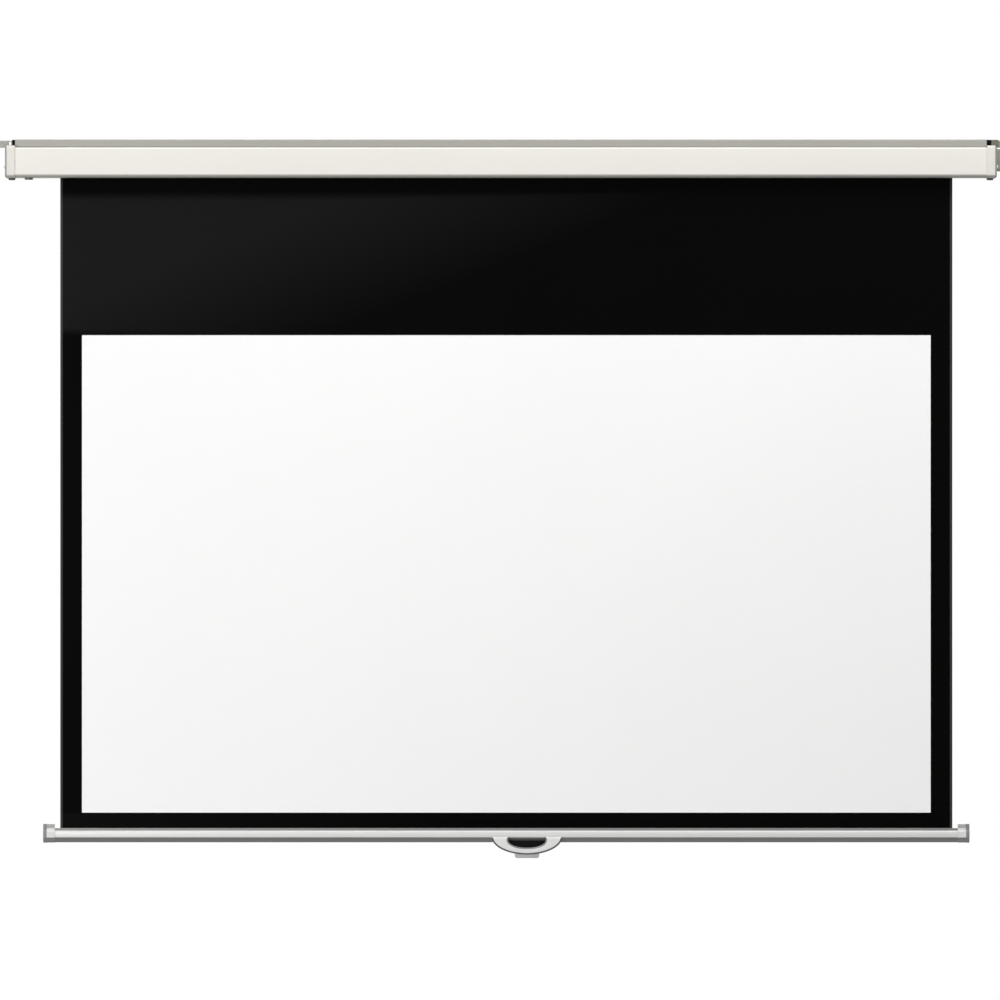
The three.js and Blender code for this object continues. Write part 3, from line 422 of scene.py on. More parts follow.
def mixed(tree, factor, first, second):
    """A colour between two colours or colour sockets."""
    node = tree.nodes.new("ShaderNodeMix")
    node.data_type = "RGBA"
    feed(tree, node.inputs["Factor"], factor)
    for place, colour in zip(MIX_INPUTS, (first, second)):
        feed(tree, node.inputs[place], colour)
    return node.outputs[MIX_OUTPUT]


def place_nodes(tree, stretch=(1, 1, 1)):
    """Object coordinates, stretched along each axis."""
    coordinates = tree.nodes.new("ShaderNodeTexCoord")
    mapping = tree.nodes.new("ShaderNodeMapping")
    mapping.inputs["Scale"].default_value = stretch
    tree.links.new(coordinates.outputs["Object"], mapping.inputs["Vector"])
    return mapping.outputs["Vector"]


def along(tree, place, axis):
    split = tree.nodes.new("ShaderNodeSeparateXYZ")
    tree.links.new(place, split.inputs[0])
    return split.outputs[axis]


def noise_of(tree, place, scale, detail=3.0, roughness=0.55):
    noise = tree.nodes.new("ShaderNodeTexNoise")
    noise.inputs["Scale"].default_value = scale
    noise.inputs["Detail"].default_value = detail
    noise.inputs["Roughness"].default_value = roughness
    tree.links.new(place, noise.inputs["Vector"])
    return noise.outputs["Fac"]


def spread(tree, value, low, high, from_low=0.3, from_high=0.7):
    """Maps a value, by default the middle of a noise, to the range low to high."""
    node = tree.nodes.new("ShaderNodeMapRange")
    node.inputs["From Min"].default_value = from_low
    node.inputs["From Max"].default_value = from_high
    node.inputs["To Min"].default_value = low
    node.inputs["To Max"].default_value = high
    tree.links.new(value, node.inputs["Value"])
    return node.outputs["Result"]


def bump(tree, shader, height, distance, strength):
    node = tree.nodes.new("ShaderNodeBump")
    node.inputs["Strength"].default_value = strength
    node.inputs["Distance"].default_value = distance
    tree.links.new(height, node.inputs["Height"])
    tree.links.new(node.outputs["Normal"], shader.inputs["Normal"])


def sharp_edges(tree):
    """1 on sharp outer edges and 0 elsewhere."""
    geometry = tree.nodes.new("ShaderNodeNewGeometry")
    return spread(tree, geometry.outputs["Pointiness"], 0, 1, *EDGE_POINTINESS)


def near_sides(tree, place, middle, half, margin):
    """1 within a margin of the two ends of a width and 0 between, with a short blend where it starts."""
    distance = maths(tree, "ABSOLUTE", maths(tree, "SUBTRACT", along(tree, place, "X"), middle))
    return spread(tree, distance, 0, 1, half - margin, half - margin * SOLID_PART_OF_MARGIN)


def painted_drop_sheen(tree, place):
    """1 in the upper left of the black drop, where a sheen is painted. It fades to 0 across it, at the
    picture and under the case.
    """
    slope = tree.nodes.new("ShaderNodeVectorMath")
    slope.operation = "DOT_PRODUCT"
    slope.inputs[1].default_value = SHEEN_SLOPE
    tree.links.new(place, slope.inputs[0])
    height = along(tree, place, "Z")
    across = spread(tree, slope.outputs["Value"], 0, 1, *SHEEN_RUN)
    above_picture = spread(tree, height, 0, 1, view_top, view_top + SHEEN_FADE)
    below_case = spread(tree, height, 1, 0, SHEEN_TOP - SHEEN_FADE, SHEEN_TOP)
    return maths(tree, "MINIMUM", maths(tree, "MINIMUM", across, above_picture), below_case)


def shade(colour, factor):
    """A darker or a paler tone of a colour."""
    return tuple(min(1, channel * factor) for channel in colour)


# Materials

def painted(name, colour, roughness=0.46):
    """Powder coated metal: a fine orange peel, a slight drift of colour, dark specks and paler edges."""
    drift_tone, speck_tone, edge_tone = 0.985, 0.94, 1.04
    material, tree, shader = shader_of(name, roughness, Coat_Weight=0.04, Specular_IOR_Level=0.35)
    place = place_nodes(tree)
    drift = spread(tree, noise_of(tree, place, scale=3.0), 0, 1)
    body = mixed(tree, drift, shade(colour, drift_tone), colour)
    speck_noise = noise_of(tree, place, scale=420.0, detail=2.0)
    specks = spread(tree, speck_noise, 0, 1, from_low=0.62, from_high=0.8)
    body = mixed(tree, specks, body, shade(colour, speck_tone))
    body = mixed(tree, sharp_edges(tree), body, shade(colour, edge_tone))
    tree.links.new(body, shader.inputs["Base Color"])
    sheen = spread(tree, noise_of(tree, place, scale=9.0), low=roughness - 0.04, high=roughness + 0.06)
    tree.links.new(sheen, shader.inputs["Roughness"])
    peel = noise_of(tree, place, scale=650.0, detail=2.0)
    bump(tree, shader, peel, distance=0.00004, strength=0.6)
    return material


def brushed(name, colour, roughness, metallic=0.75, stretch=(2.0, 260.0, 260.0)):
    """Anodised or plated metal with fine lines along X, or a fine grain where the stretch is even."""
    line_tone, edge_tone = 0.9, 1.1
    material, tree, shader = shader_of(name, roughness, metallic)
    lines = noise_of(tree, place_nodes(tree, stretch), scale=6.0, detail=4.0, roughness=0.7)
    body = mixed(tree, spread(tree, lines, 0, 1), shade(colour, line_tone), colour)
    body = mixed(tree, sharp_edges(tree), body, shade(colour, edge_tone))
    tree.links.new(body, shader.inputs["Base Color"])
    sheen = spread(tree, lines, low=roughness - 0.06, high=roughness + 0.1)
    tree.links.new(sheen, shader.inputs["Roughness"])
    bump(tree, shader, lines, distance=0.00002, strength=0.5)
    return material


def moulded(name, colour, roughness, grain=0.00006, specular=0.5, outer=None):
    """Moulded plastic or rubber with a fine grain. Past the cores of the rail's plugs it can be another
    colour, outer."""
    drift_tone = 0.93
    material, tree, shader = shader_of(name, roughness, Specular_IOR_Level=specular)
    place = place_nodes(tree)
    drift = spread(tree, noise_of(tree, place, scale=30.0), 0, 1)
    body = mixed(tree, drift, shade(colour, drift_tone), colour)
    if outer:
        flanges = near_sides(tree, place, 0, shell_high[0] + PLUG_CORE, SMALL_GAP)
        body = mixed(tree, flanges, body, outer)
    tree.links.new(body, shader.inputs["Base Color"])
    sheen = spread(tree, noise_of(tree, place, scale=60.0), low=roughness - 0.04, high=roughness + 0.05)
    tree.links.new(sheen, shader.inputs["Roughness"])
    bump(tree, shader, noise_of(tree, place, scale=900.0, detail=2.0), distance=grain, strength=0.5)
    return material


def cloth(name, colour, roughness, specular=0.3, depth=0.02, selvedge=None, drop_painted_sheen=None):
    """Coated screen fabric: a fine even weave and a slow drift of tone by depth. Its raw sides can be another
    colour, selvedge, and the drop above the picture can get a painted sheen in its upper left,
    drop_painted_sheen."""
    material, tree, shader = shader_of(name, roughness, Specular_IOR_Level=specular)
    place = place_nodes(tree)
    drift = spread(tree, noise_of(tree, place, scale=1.6, detail=2.0), 0, 1)
    body = mixed(tree, drift, shade(colour, 1 - depth), colour)
    if selvedge:
        sides = near_sides(tree, place, fabric_centre, fabric_high[0] - fabric_centre, SELVEDGE)
        body = mixed(tree, sides, body, selvedge)
    # Painted sheen: the specular level rises in the upper left of the drop
    if drop_painted_sheen:
        gloss = spread(tree, painted_drop_sheen(tree, place), specular, drop_painted_sheen, 0, 1)
        tree.links.new(gloss, shader.inputs["Specular IOR Level"])
    tree.links.new(body, shader.inputs["Base Color"])
    threads = []
    for direction in ("X", "Z"):
        wave = tree.nodes.new("ShaderNodeTexWave")
        wave.bands_direction = direction
        wave.inputs["Scale"].default_value = 260.0
        wave.inputs["Distortion"].default_value = 0.6
        tree.links.new(place, wave.inputs["Vector"])
        threads.append(wave.outputs["Fac"])
    bump(tree, shader, maths(tree, "MULTIPLY", *threads), distance=0.00008, strength=0.35)
    return material


# Each material has a name, a colour and a roughness. A shade is a colour times a factor
CREAM = (0.765, 0.745, 0.69)
RAIL_GRAY = (0.345, 0.34, 0.31)
COVER_GRAY = (0.29, 0.28, 0.225)
ALUMINIUM = (0.68, 0.68, 0.67)
# Painted shade for the bar's chamfer and underside, and for the front of its lip
SHADED_ALUMINIUM = (0.185, 0.185, 0.181)
LIP_PAINTED_SHADE = (0.21, 0.21, 0.206)
ZINC = (0.62, 0.62, 0.58)
DARK_STEEL = (0.10, 0.10, 0.085)
SILVER_PLASTIC = (0.74, 0.74, 0.73)
HANDLE_WHITE = (0.78, 0.78, 0.77)
NYLON_WHITE = (0.7, 0.69, 0.65)
SCREEN_WHITE = (0.955, 0.955, 0.95)
BACK_GRAY = (0.014, 0.014, 0.013)
SELVEDGE_GRAY = (0.045, 0.045, 0.044)
MASK_BLACK = (0.0009, 0.0009, 0.0008)
BLACK_PLASTIC = (0.003, 0.003, 0.003)
PLUG_GRAY = (0.16, 0.16, 0.125)
RUBBER_GRAY = (0.1, 0.098, 0.085)

EVEN_GRAIN = (60.0, 60.0, 60.0)
DRAWN_GRAIN = (40.0, 60.0, 60.0)
POLISHED_GRAIN = 0.00001
RUBBER_GRAIN = 0.0001

case_paint = painted("case_paint", CREAM)
# A painted highlight for the upper front edge of the case
upper_edge_painted_highlight = painted("upper_edge_painted_highlight", shade(CREAM, 1.13), roughness=0.4)
cap_paint = painted("cap_paint", shade(CREAM, 0.915))
# Painted shade for where the case turns down, and darker painted shade under it
turn_painted_shade = painted("turn_painted_shade", shade(CREAM, 0.8))
under_painted_shade = painted("under_painted_shade", shade(CREAM, 0.58))
# A painted shade for the rim round the outer end of each end cap
rim_painted_shade = painted("rim_painted_shade", shade(CREAM, 0.42), roughness=0.5)
rail_paint = painted("rail_paint", RAIL_GRAY, roughness=0.4)
bracket_paint = painted("bracket_paint", RAIL_GRAY, roughness=0.42)
cover_plastic = moulded("axle_cover_plastic", COVER_GRAY, 0.45)
bar_metal = brushed("bar_aluminium", ALUMINIUM, 0.42, metallic=0.35)
# Painted shade on the bar's chamfer and underside, and on the front of its lip
shaded_metal = brushed("bar_chamfer_painted_shade", SHADED_ALUMINIUM, 0.45, metallic=0.4)
lip_painted_shade_metal = brushed("bar_lip_painted_shade", LIP_PAINTED_SHADE, 0.45, metallic=0.4)
tube_metal = brushed("tube_aluminium", ALUMINIUM, 0.4)
zinc = brushed("zinc_steel", ZINC, 0.36, metallic=0.9, stretch=DRAWN_GRAIN)
dark_steel = brushed("dark_steel", DARK_STEEL, 0.4, metallic=0.8, stretch=EVEN_GRAIN)
silver_plastic = moulded("silver_plastic", SILVER_PLASTIC, 0.36)
# Painted shade for the bar caps' outer plates and chamfers, and for the front of their lips
shaded_plastic = moulded("silver_plastic_painted_shade", shade(SILVER_PLASTIC, 0.32), 0.4)
lip_painted_shade_plastic = moulded("silver_plastic_lip_painted_shade", shade(SILVER_PLASTIC, 0.55), 0.4)
handle_gloss = moulded("handle_gloss", HANDLE_WHITE, 0.16, POLISHED_GRAIN)
# Painted shade on the handle's outer rim, the ring's painted shadow on its tab, and painted shade on the
# inner rim under the dark panel
shaded_gloss = moulded("handle_gloss_painted_shade", shade(HANDLE_WHITE, 0.11), 0.2, POLISHED_GRAIN)
tab_painted_shadow_gloss = moulded("handle_gloss_tab_painted_shadow", shade(HANDLE_WHITE, 0.58), 0.2, POLISHED_GRAIN)
inner_painted_shade_gloss = moulded("handle_gloss_inside_painted_shade", shade(HANDLE_WHITE, 0.3), 0.2, POLISHED_GRAIN)
black_plastic = moulded("black_plastic", BLACK_PLASTIC, 0.5, specular=0.06)
plug_plastic = moulded("plug_plastic", BLACK_PLASTIC, 0.5, specular=0.06, outer=PLUG_GRAY)
foot_rubber = moulded("foot_rubber", RUBBER_GRAY, 0.7, RUBBER_GRAIN)
nylon = moulded("white_nylon", NYLON_WHITE, 0.5)
screen_white = cloth("screen_white", SCREEN_WHITE, 0.85, depth=0.012)
screen_back = cloth("screen_back", BACK_GRAY, 0.7)
# The black masking, with a painted sheen on its drop
mask_black = cloth(
    "mask_black", MASK_BLACK, 0.42, specular=0.025, depth=0.3, selvedge=SELVEDGE_GRAY, drop_painted_sheen=0.1
)

SLOT_MATERIALS = {
    "cream_paint": case_paint,
    "gray_paint": bracket_paint,
    "gray_aluminium": rail_paint,
    "gray_plastic": cover_plastic,
    "zinc_steel": zinc,
    "dark_steel": dark_steel,
    "silver_aluminium": tube_metal,
    "silver_plastic": silver_plastic,
    "white_gloss": handle_gloss,
    "black_plastic": black_plastic,
    "black_rubber": foot_rubber,
    "white_nylon": nylon,
    "white_screen": screen_white,
    "black_fabric": mask_black,
}
NODE_MATERIALS = {"left_rail_plug": plug_plastic, "right_rail_plug": plug_plastic}


# CAD nodes that keep their own solids

def smoothing_group():
    """A modifier's node group that shades a CAD solid smooth, except across its sharp edges."""
    group = bpy.data.node_groups.new("smooth_by_angle", "GeometryNodeTree")
    group.interface.new_socket("Geometry", in_out="INPUT", socket_type="NodeSocketGeometry")
    group.interface.new_socket("Geometry", in_out="OUTPUT", socket_type="NodeSocketGeometry")
    start = group.nodes.new("NodeGroupInput")
    end = group.nodes.new("NodeGroupOutput")
    faces = group.nodes.new("GeometryNodeSetShadeSmooth")
    faces.domain = "FACE"
    edges = group.nodes.new("GeometryNodeSetShadeSmooth")
    edges.domain = "EDGE"
    edges.inputs["Shade Smooth"].default_value = False
    angle = group.nodes.new("GeometryNodeInputMeshEdgeAngle")
    sharp = group.nodes.new("FunctionNodeCompare")
    sharp.operation = "GREATER_THAN"
    sharp.inputs["B"].default_value = SMOOTH_ANGLE
    link = group.links.new
    link(start.outputs[0], faces.inputs["Geometry"])
    link(faces.outputs[0], edges.inputs["Geometry"])
    link(angle.outputs["Unsigned Angle"], sharp.inputs["A"])
    link(sharp.outputs[0], edges.inputs["Selection"])
    link(edges.outputs[0], end.inputs[0])
    return group


def finish_cad_nodes():
    group = smoothing_group()
    slot_of = {entry["node"]: entry["material_slot"] for entry in frame["record"]["subparts"]}
    for name, node in nodes.items():
        material = NODE_MATERIALS.get(name, SLOT_MATERIALS[slot_of[name]])
        node.data.materials.clear()
        node.data.materials.append(material)
        modifier = node.modifiers.new("smooth", "NODES")
        modifier.node_group = group


# Case

def underside(face):
    """Painted shade: 1 where the case's lower rounding starts to turn down, 2 below that, and 0 elsewhere."""
    if face.normal.z < -UNDER:
        return 2
    return 1 if face.normal.z < -TURNING else 0


def cover():
    bottom, top = shell_low[2], shell_high[2]
    front, slot_edge = shell_low[1], shell_high[1]
    path = rounded(
        [
            (-SEAM_FROM_WALL - SMALL_GAP, top),
            (front, top, SHELL_UPPER_RADIUS),
            (front, bottom, SHELL_LOWER_RADIUS),
            (slot_edge, bottom),
            (slot_edge, bottom + SHELL_LIP),
        ],
        closed=False,
    )
    section = bent_sheet(path, SHEET_WALL)
    piece = prism("cover_shell", "x", [section], shell_low[0], shell_high[0], FINE_EDGE)
    stand_for(piece, "front_cover", case_paint, "case")

    # Painted highlight on the upper front edge, painted shade on the lower rounding and below it
    def tone(face):
        upper_edge = face.normal.y < -UPPER_EDGE_FRONT and face.normal.z > UPPER_EDGE_UP
        return 3 if upper_edge else underside(face)

    toned(piece, tone, turn_painted_shade, under_painted_shade, upper_edge_painted_highlight)


def channel():
    low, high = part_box("back_channel")
    bottom, top = low[2], high[2]
    slot_edge = fabric_middle + (fabric_middle - shell_high[1])
    path = rounded(
        [
            (slot_edge, bottom + SHELL_LIP),
            (slot_edge, bottom),
            (0, bottom, BEND_RADIUS),
            (0, top, BEND_RADIUS),
            (BEND_RADIUS - SEAM_FROM_WALL, top),
            (-SEAM_FROM_WALL, top - BEND_RADIUS),
            (low[1], top - BEND_RADIUS),
        ],
        closed=False,
    )
    piece = prism("channel_shell", "x", [bent_sheet(path, SHEET_WALL)], low[0], high[0], FINE_EDGE)
    stand_for(piece, "back_channel", case_paint, "case")
    # Painted shade on the channel's lower rounding and underside
    toned(piece, underside, turn_painted_shade, under_painted_shade)


def end_cap(side):
    name = END_CAPS[side]
    low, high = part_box(name)

    def outline(inset):
        return rounded(
            [
                (high[1] - inset, low[2] + inset),
                (high[1] - inset, high[2] - inset),
                (low[1] + inset, high[2] - inset, CAP_UPPER_RADIUS - inset),
                (low[1] + inset, low[2] + inset, SHELL_LOWER_RADIUS - inset),
            ]
        )

    inner, outer = ends(low, high, side)
    piece = capped_prism(f"{name}_shell", outline(0), inner, outer, CAP_BEVEL)
    hollow_ends = sorted((inner - side * CAP_BEVEL, outer - side * CAP_WALL))
    carve(piece, prism("hollow", "x", [outline(CAP_WALL)], *hollow_ends, SMALL_GAP))
    stand_for(piece, name, cap_paint, "case")
    rim = outer - side * CAP_BEVEL

    # Painted shade on the rounded rim of the cap's outer end, and on its lower rounding and underside
    def tone(face):
        on_rim = side * (face.center.x - rim) > 0 and abs(face.normal.x) < CAP_END
        return 3 if on_rim else underside(face)

    toned(piece, tone, turn_painted_shade, under_painted_shade, rim_painted_shade)


def rail():
    low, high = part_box("top_rail")
    middle = (low[1] + high[1]) / 2
    path = rounded(
        [
            (middle - RAIL_SLOT / 2, high[2] - RAIL_LIP),
            (middle - RAIL_SLOT / 2, high[2], RAIL_LIP_RADIUS),
            (low[1], high[2], RAIL_RADIUS),
            (low[1], low[2], RAIL_RADIUS),
            (high[1], low[2], RAIL_RADIUS),
            (high[1], high[2], RAIL_RADIUS),
            (middle + RAIL_SLOT / 2, high[2], RAIL_LIP_RADIUS),
            (middle + RAIL_SLOT / 2, high[2] - RAIL_LIP),
        ],
        closed=False,
    )
    piece = prism("rail_section", "x", [bent_sheet(path, RAIL_WALL)], low[0], high[0], RAIL_EDGE)
    stand_for(piece, "top_rail", rail_paint, "case")


def bracket(side):
    """An ear on a long foot, with a notch that steps over the end cap, a slot and a round hole."""
    name = BRACKETS[side]
    low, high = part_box(name)
    cap_low, cap_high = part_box(END_CAPS[side])
    root, tip = ends(low, high, side)
    case_end = ends(cap_low, cap_high, side)[1]
    notch_inner = side * (shell_high[0] - CAP_TO_BRACKET)
    notch_outer = case_end + side * CAP_TO_BRACKET
    notch_top = cap_high[2] + CAP_TO_BRACKET
    outline = rounded(
        [
            (root, low[2], BRACKET_RADIUS),
            (notch_inner, low[2], BRACKET_NOTCH_RADIUS),
            (notch_inner, notch_top, BRACKET_NOTCH_RADIUS),
            (notch_outer, notch_top, BRACKET_NOTCH_RADIUS),
            (notch_outer, low[2], BRACKET_NOTCH_RADIUS),
            (tip, low[2], BRACKET_RADIUS),
            (tip, high[2], BRACKET_RADIUS),
            (root, high[2], BRACKET_RADIUS),
        ]
    )
    slot_x = case_end - side * BRACKET_SLOT_FROM_CASE_END
    slot_bottom, slot_top = notch_top + BRACKET_SLOT_MARGIN, high[2] - BRACKET_SLOT_MARGIN
    slot_hole = oblong(slot_x, slot_bottom, slot_top, BRACKET_HOLE_RADIUS)
    hole_x = slot_x + side * BRACKET_HOLE_SPACING
    round_hole = circle(hole_x, (low[2] + high[2]) / 2, BRACKET_HOLE_RADIUS)
    piece = prism(f"{name}_plate", "y", [outline, slot_hole, round_hole], low[1], high[1], BRACKET_EDGE)
    stand_for(piece, name, bracket_paint, "case")


def axle_cover():
    low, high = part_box("right_axle_cover")
    outline = rounded(
        [
            (low[1], low[2], COVER_RADIUS),
            (high[1], low[2], COVER_RADIUS),
            (high[1], high[2], COVER_RADIUS),
            (low[1], high[2], COVER_RADIUS),
        ]
    )
    piece = capped_prism("axle_cover_shell", outline, low[0], high[0], COVER_ROUND)
    stand_for(piece, "right_axle_cover", cover_plastic, "case")


def foot(name, carrier_bottom, material):
    """A round head under the case, with a softened rim, a shallow dish and a stem into its carrier."""
    low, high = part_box(name)
    radius = (high[0] - low[0]) / 2
    seat = carrier_bottom - SMALL_GAP
    stem = radius * FOOT_STEM_SHARE
    dish = radius * FOOT_DISH_SHARE
    arc = FOOT_ROUND * FOOT_ARC_SHARE
    profile = [
        (0, high[2]),
        (stem, high[2]),
        (stem, seat),
        (radius - FOOT_ROUND / 2, seat),
        (radius, seat - FOOT_ROUND / 2),
        (radius, low[2] + FOOT_ROUND),
        (radius - arc, low[2] + arc),
        (radius - FOOT_ROUND, low[2]),
        (dish + FOOT_ROUND / 2, low[2]),
        (dish, low[2] + FOOT_ROUND / 2),
        (0, low[2] + FOOT_ROUND),
    ]
    foot_point = ((low[0] + high[0]) / 2, (low[1] + high[1]) / 2, 0)
    piece = turned(f"{name}_head", profile, foot_point)
    stand_for(piece, name, material, "case")


# Weight bar and handle

def crowned(start, end, rise):
    """Points on a shallow arc between two corners, with its middle further out than they are by the rise."""
    points = []
    for i in range(1, CROWN_STEPS):
        share = i / CROWN_STEPS
        a, b = (s + (e - s) * share for s, e in zip(start, end))
        points.append((a - rise * 4 * share * (1 - share), b))
    return points


def bar_outline(grow, lip_top, radius, crown=0):
    """The bar's outline in (y, z), moved out by grow, with its lips up to lip_top."""
    top = bar_high[2]
    front = bar_low[1] - grow
    back = bar_high[1] + grow
    bottom = bar_low[2] - grow
    shoulder = top - BAR_LIP_HEIGHT + grow
    slant = math.hypot(BAR_CHAMFER_HEIGHT, BAR_CHAMFER_DEPTH)
    creep = grow * (slant - BAR_CHAMFER_DEPTH) / BAR_CHAMFER_HEIGHT
    lip = BAR_LIP_HALF + grow
    face_top = (front + crown, shoulder - grow - BAR_SHOULDER)
    face_bottom = (front + crown, bar_low[2] + BAR_CHAMFER_HEIGHT - creep)
    front_lip = [lip_top, top] if lip_top > top else [top]
    return [
        *[(fabric_middle - lip, height) for height in front_lip],
        (fabric_middle - lip, shoulder, radius / 2),
        (front + grow + BAR_SHOULDER, shoulder, radius),
        (*face_top, radius),
        *crowned(face_top, face_bottom, crown),
        (*face_bottom, radius if crown else radius * 2),
        (front + grow + BAR_CHAMFER_DEPTH - creep, bottom, radius),
        (back - grow - BAR_SHOULDER, bottom, radius),
        (back, bottom + grow + BAR_SHOULDER, radius),
        (back, shoulder - grow - BAR_SHOULDER, radius),
        (back - grow - BAR_SHOULDER, shoulder, radius),
        (fabric_middle + lip, shoulder, radius / 2),
        (fabric_middle + lip, lip_top),
    ]


def hem_pocket(radius, half_opening):
    """The part of the hem pocket's circle below its opening, from the left lip round to the right."""
    centre = bar_high[2] - HEM_ROD_DROP
    start = math.pi / 2 + math.asin(half_opening / radius)
    sweep = 2 * math.pi - 2 * math.asin(half_opening / radius)
    turns = [start + sweep * i / ROUND_STEPS for i in range(ROUND_STEPS + 1)]
    return [(fabric_middle + radius * math.cos(t), centre + radius * math.sin(t)) for t in turns]


def bar_hollow():
    top = bar_high[2] - HEM_ROD_DROP - HEM_POCKET_RADIUS - BAR_WALL
    bottom = bar_low[2] + BAR_WALL
    chamfer_top = bar_low[2] + BAR_CHAMFER_HEIGHT
    run = (chamfer_top - bottom) * BAR_CHAMFER_DEPTH / BAR_CHAMFER_HEIGHT
    front, back = bar_low[1] + BAR_WALL, bar_high[1] - BAR_WALL
    return [(front, top), (front, chamfer_top), (front + run, bottom), (back, bottom), (back, top)]


def bar_shade_tone(face, lip_foot):
    """Painted shade: 1 on the chamfer and under the bar, 2 on the front of its lip, and 0 elsewhere."""
    if face.normal.y < 0 and face.normal.z < -CHAMFER:
        return 1
    return 2 if face.normal.y < -FACING and face.center.z > lip_foot else 0


def weight_bar():
    top = bar_high[2]
    half = HEM_SLOT / 2
    outline = rounded(bar_outline(0, top, BAR_SHOULDER_RADIUS, BAR_CROWN), steps=BAR_CORNER_STEPS)
    mouth = [(fabric_middle + half, top), *hem_pocket(HEM_POCKET_RADIUS, half)[::-1]]
    mouth.append((fabric_middle - half, top))
    loops = [outline + mouth, bar_hollow()]
    piece = prism("bar_extrusion", "x", loops, bar_low[0], bar_high[0], FINE_EDGE)
    stand_for(piece, "weight_bar", bar_metal, "weight_bar")
    toned(piece, lambda face: bar_shade_tone(face, top - BAR_LIP_HEIGHT), shaded_metal, lip_painted_shade_metal)


def bar_cap(side):
    """A moulding over the bar's end and a plate outside it that stands out by a small step."""
    name = BAR_CAPS[side]
    inner = ends(bar_low, bar_high, side)[1] + side * SMALL_GAP
    outer = ends(*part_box(name), side)[1]
    seam = outer - side * BAR_CAP_PLATE
    rise = bar_high[2] + BAR_CAP_RISE

    def outline(step):
        shape = bar_outline(BAR_CAP_LIP - step, rise - step, BAR_CORNER_RADIUS)
        return rounded(shape, steps=BAR_CAP_CORNER_STEPS)

    moulding_ends = sorted((inner, seam + side * SMALL_GAP))
    piece = prism(f"{name}_moulding", "x", [outline(BAR_CAP_STEP)], *moulding_ends, SMALL_GAP / 2)
    carve(piece, capped_prism("plate", outline(0), seam, outer, BAR_CAP_ROUND), "UNION")
    stand_for(piece, name, silver_plastic, "weight_bar")
    plate_start = seam - side * SMALL_GAP / 2

    # Painted shade on the outer plate, and on the chamfer and lip as on the bar
    def tone(face):
        return 1 if side * (face.center.x - plate_start) > 0 else bar_shade_tone(face, bar_high[2])

    toned(piece, tone, shaded_plastic, lip_painted_shade_plastic)


def hanging_arc(half, depth, top, start, end):
    """Part of a half ellipse that hangs from top, between two turns from its right end."""
    turns = [start + (end - start) * i / ROUND_STEPS for i in range(ROUND_STEPS + 1)]
    return [(ring_centre + half * math.cos(t), top - depth * math.sin(t)) for t in turns]


def handle_tab():
    left, right = ring_centre - HANDLE_TAB_HALF, ring_centre + HANDLE_TAB_HALF
    bottom, top = ring_low[2], ring_high[2] - HANDLE_DEPTH + HANDLE_TAB_RADIUS
    outline = rounded(
        [(right, top), (right, bottom, HANDLE_TAB_RADIUS), (left, bottom, HANDLE_TAB_RADIUS), (left, top)]
    )
    front = ring_low[1] + HANDLE_TAB_SETBACK
    return prism("handle_tab", "y", [outline], front, front + HANDLE_TAB_THICKNESS, FOOT_ROUND)


def handle():
    """A half ring under the bar, cut to the bar's shape, with a tab below it."""
    top = ring_high[2]
    half = (ring_high[0] - ring_low[0]) / 2
    inner_top = top - HANDLE_INNER_TOP
    # The rim is straight below its upper corners for more than the edge's radius, so that the edge can't fold
    start = math.asin(HANDLE_CORNER / HANDLE_DEPTH)
    outline = [
        (ring_high[0], top),
        *hanging_arc(half, HANDLE_DEPTH, top, start, math.pi - start),
        (ring_low[0], top),
        (ring_centre - HANDLE_INNER_HALF, top),
        *hanging_arc(HANDLE_INNER_HALF, HANDLE_INNER_DEPTH, inner_top, math.pi, 0),
        (ring_centre + HANDLE_INNER_HALF, top),
    ]
    piece = prism(
        "handle_grip", "y", [outline], ring_low[1], ring_high[1], HANDLE_ROUND, HANDLE_EDGE_STEPS
    )
    carve(piece, handle_tab(), "UNION")
    cutter = rounded(bar_outline(SMALL_GAP, bar_high[2], BAR_SHOULDER_RADIUS), steps=BAR_CORNER_STEPS)
    cut_ends = (ring_low[0] - HANDLE_CUT_OVERRUN, ring_high[0] + HANDLE_CUT_OVERRUN)
    carve(piece, prism("bar_space", "x", [cutter], *cut_ends, FINE_EDGE))
    stand_for(piece, "handle_ring", handle_gloss, "weight_bar")

    def outward(face, half_width, depth, hang_top):
        """Above 0 where the face turns away from the middle of a half ellipse that hangs from hang_top."""
        across = (face.center.x - ring_centre) / half_width
        down = max(hang_top - face.center.z, 0) / depth
        return face.normal.x * across / half_width - face.normal.z * down / depth

    # Painted shade: 1 on the ring's outer rim, 2 on the set-back tab as the ring's shadow, 3 on the inner rim
    # under the dark panel
    def tone(face):
        across = (face.center.x - ring_centre) / half
        down = (top - face.center.z) / HANDLE_DEPTH
        set_back = face.normal.y < -TAB_FACE and face.center.y > ring_low[1] + HANDLE_TAB_SETBACK / 2
        if set_back or math.hypot(across, down) > RING_OUTSIDE_SHARE:
            return 2
        if face.normal.y < -RING_FACE:
            return 0
        if outward(face, half, HANDLE_DEPTH, top) > 0:
            return 1
        return 3 if outward(face, HANDLE_INNER_HALF, HANDLE_INNER_DEPTH, inner_top) < 0 else 0

    toned(piece, tone, shaded_gloss, tab_painted_shadow_gloss, inner_painted_shade_gloss)


# Fabric

def hang(x, z):
    """How far the fabric leans to the wall from its flat plane: slow waves and a slight curl at the sides."""
    down = (fabric_high[2] - z) / (fabric_high[2] - fabric_low[2])
    across = (x - fabric_centre) / ((fabric_high[0] - fabric_low[0]) / 2)
    calm = math.sin(math.pi * min(max(down, 0), 1)) ** 2
    slow = 1 + math.sin(SLOW_WAVE[0] * across + SLOW_WAVE[1] * down)
    quick = 1 + math.sin(QUICK_WAVE[0] * across + QUICK_WAVE[1] * down)
    curl = abs(across) ** SIDE_CURL_POWER
    return calm * (SLOW_WAVE_HEIGHT * slow + QUICK_WAVE_HEIGHT * quick + SIDE_CURL * curl)


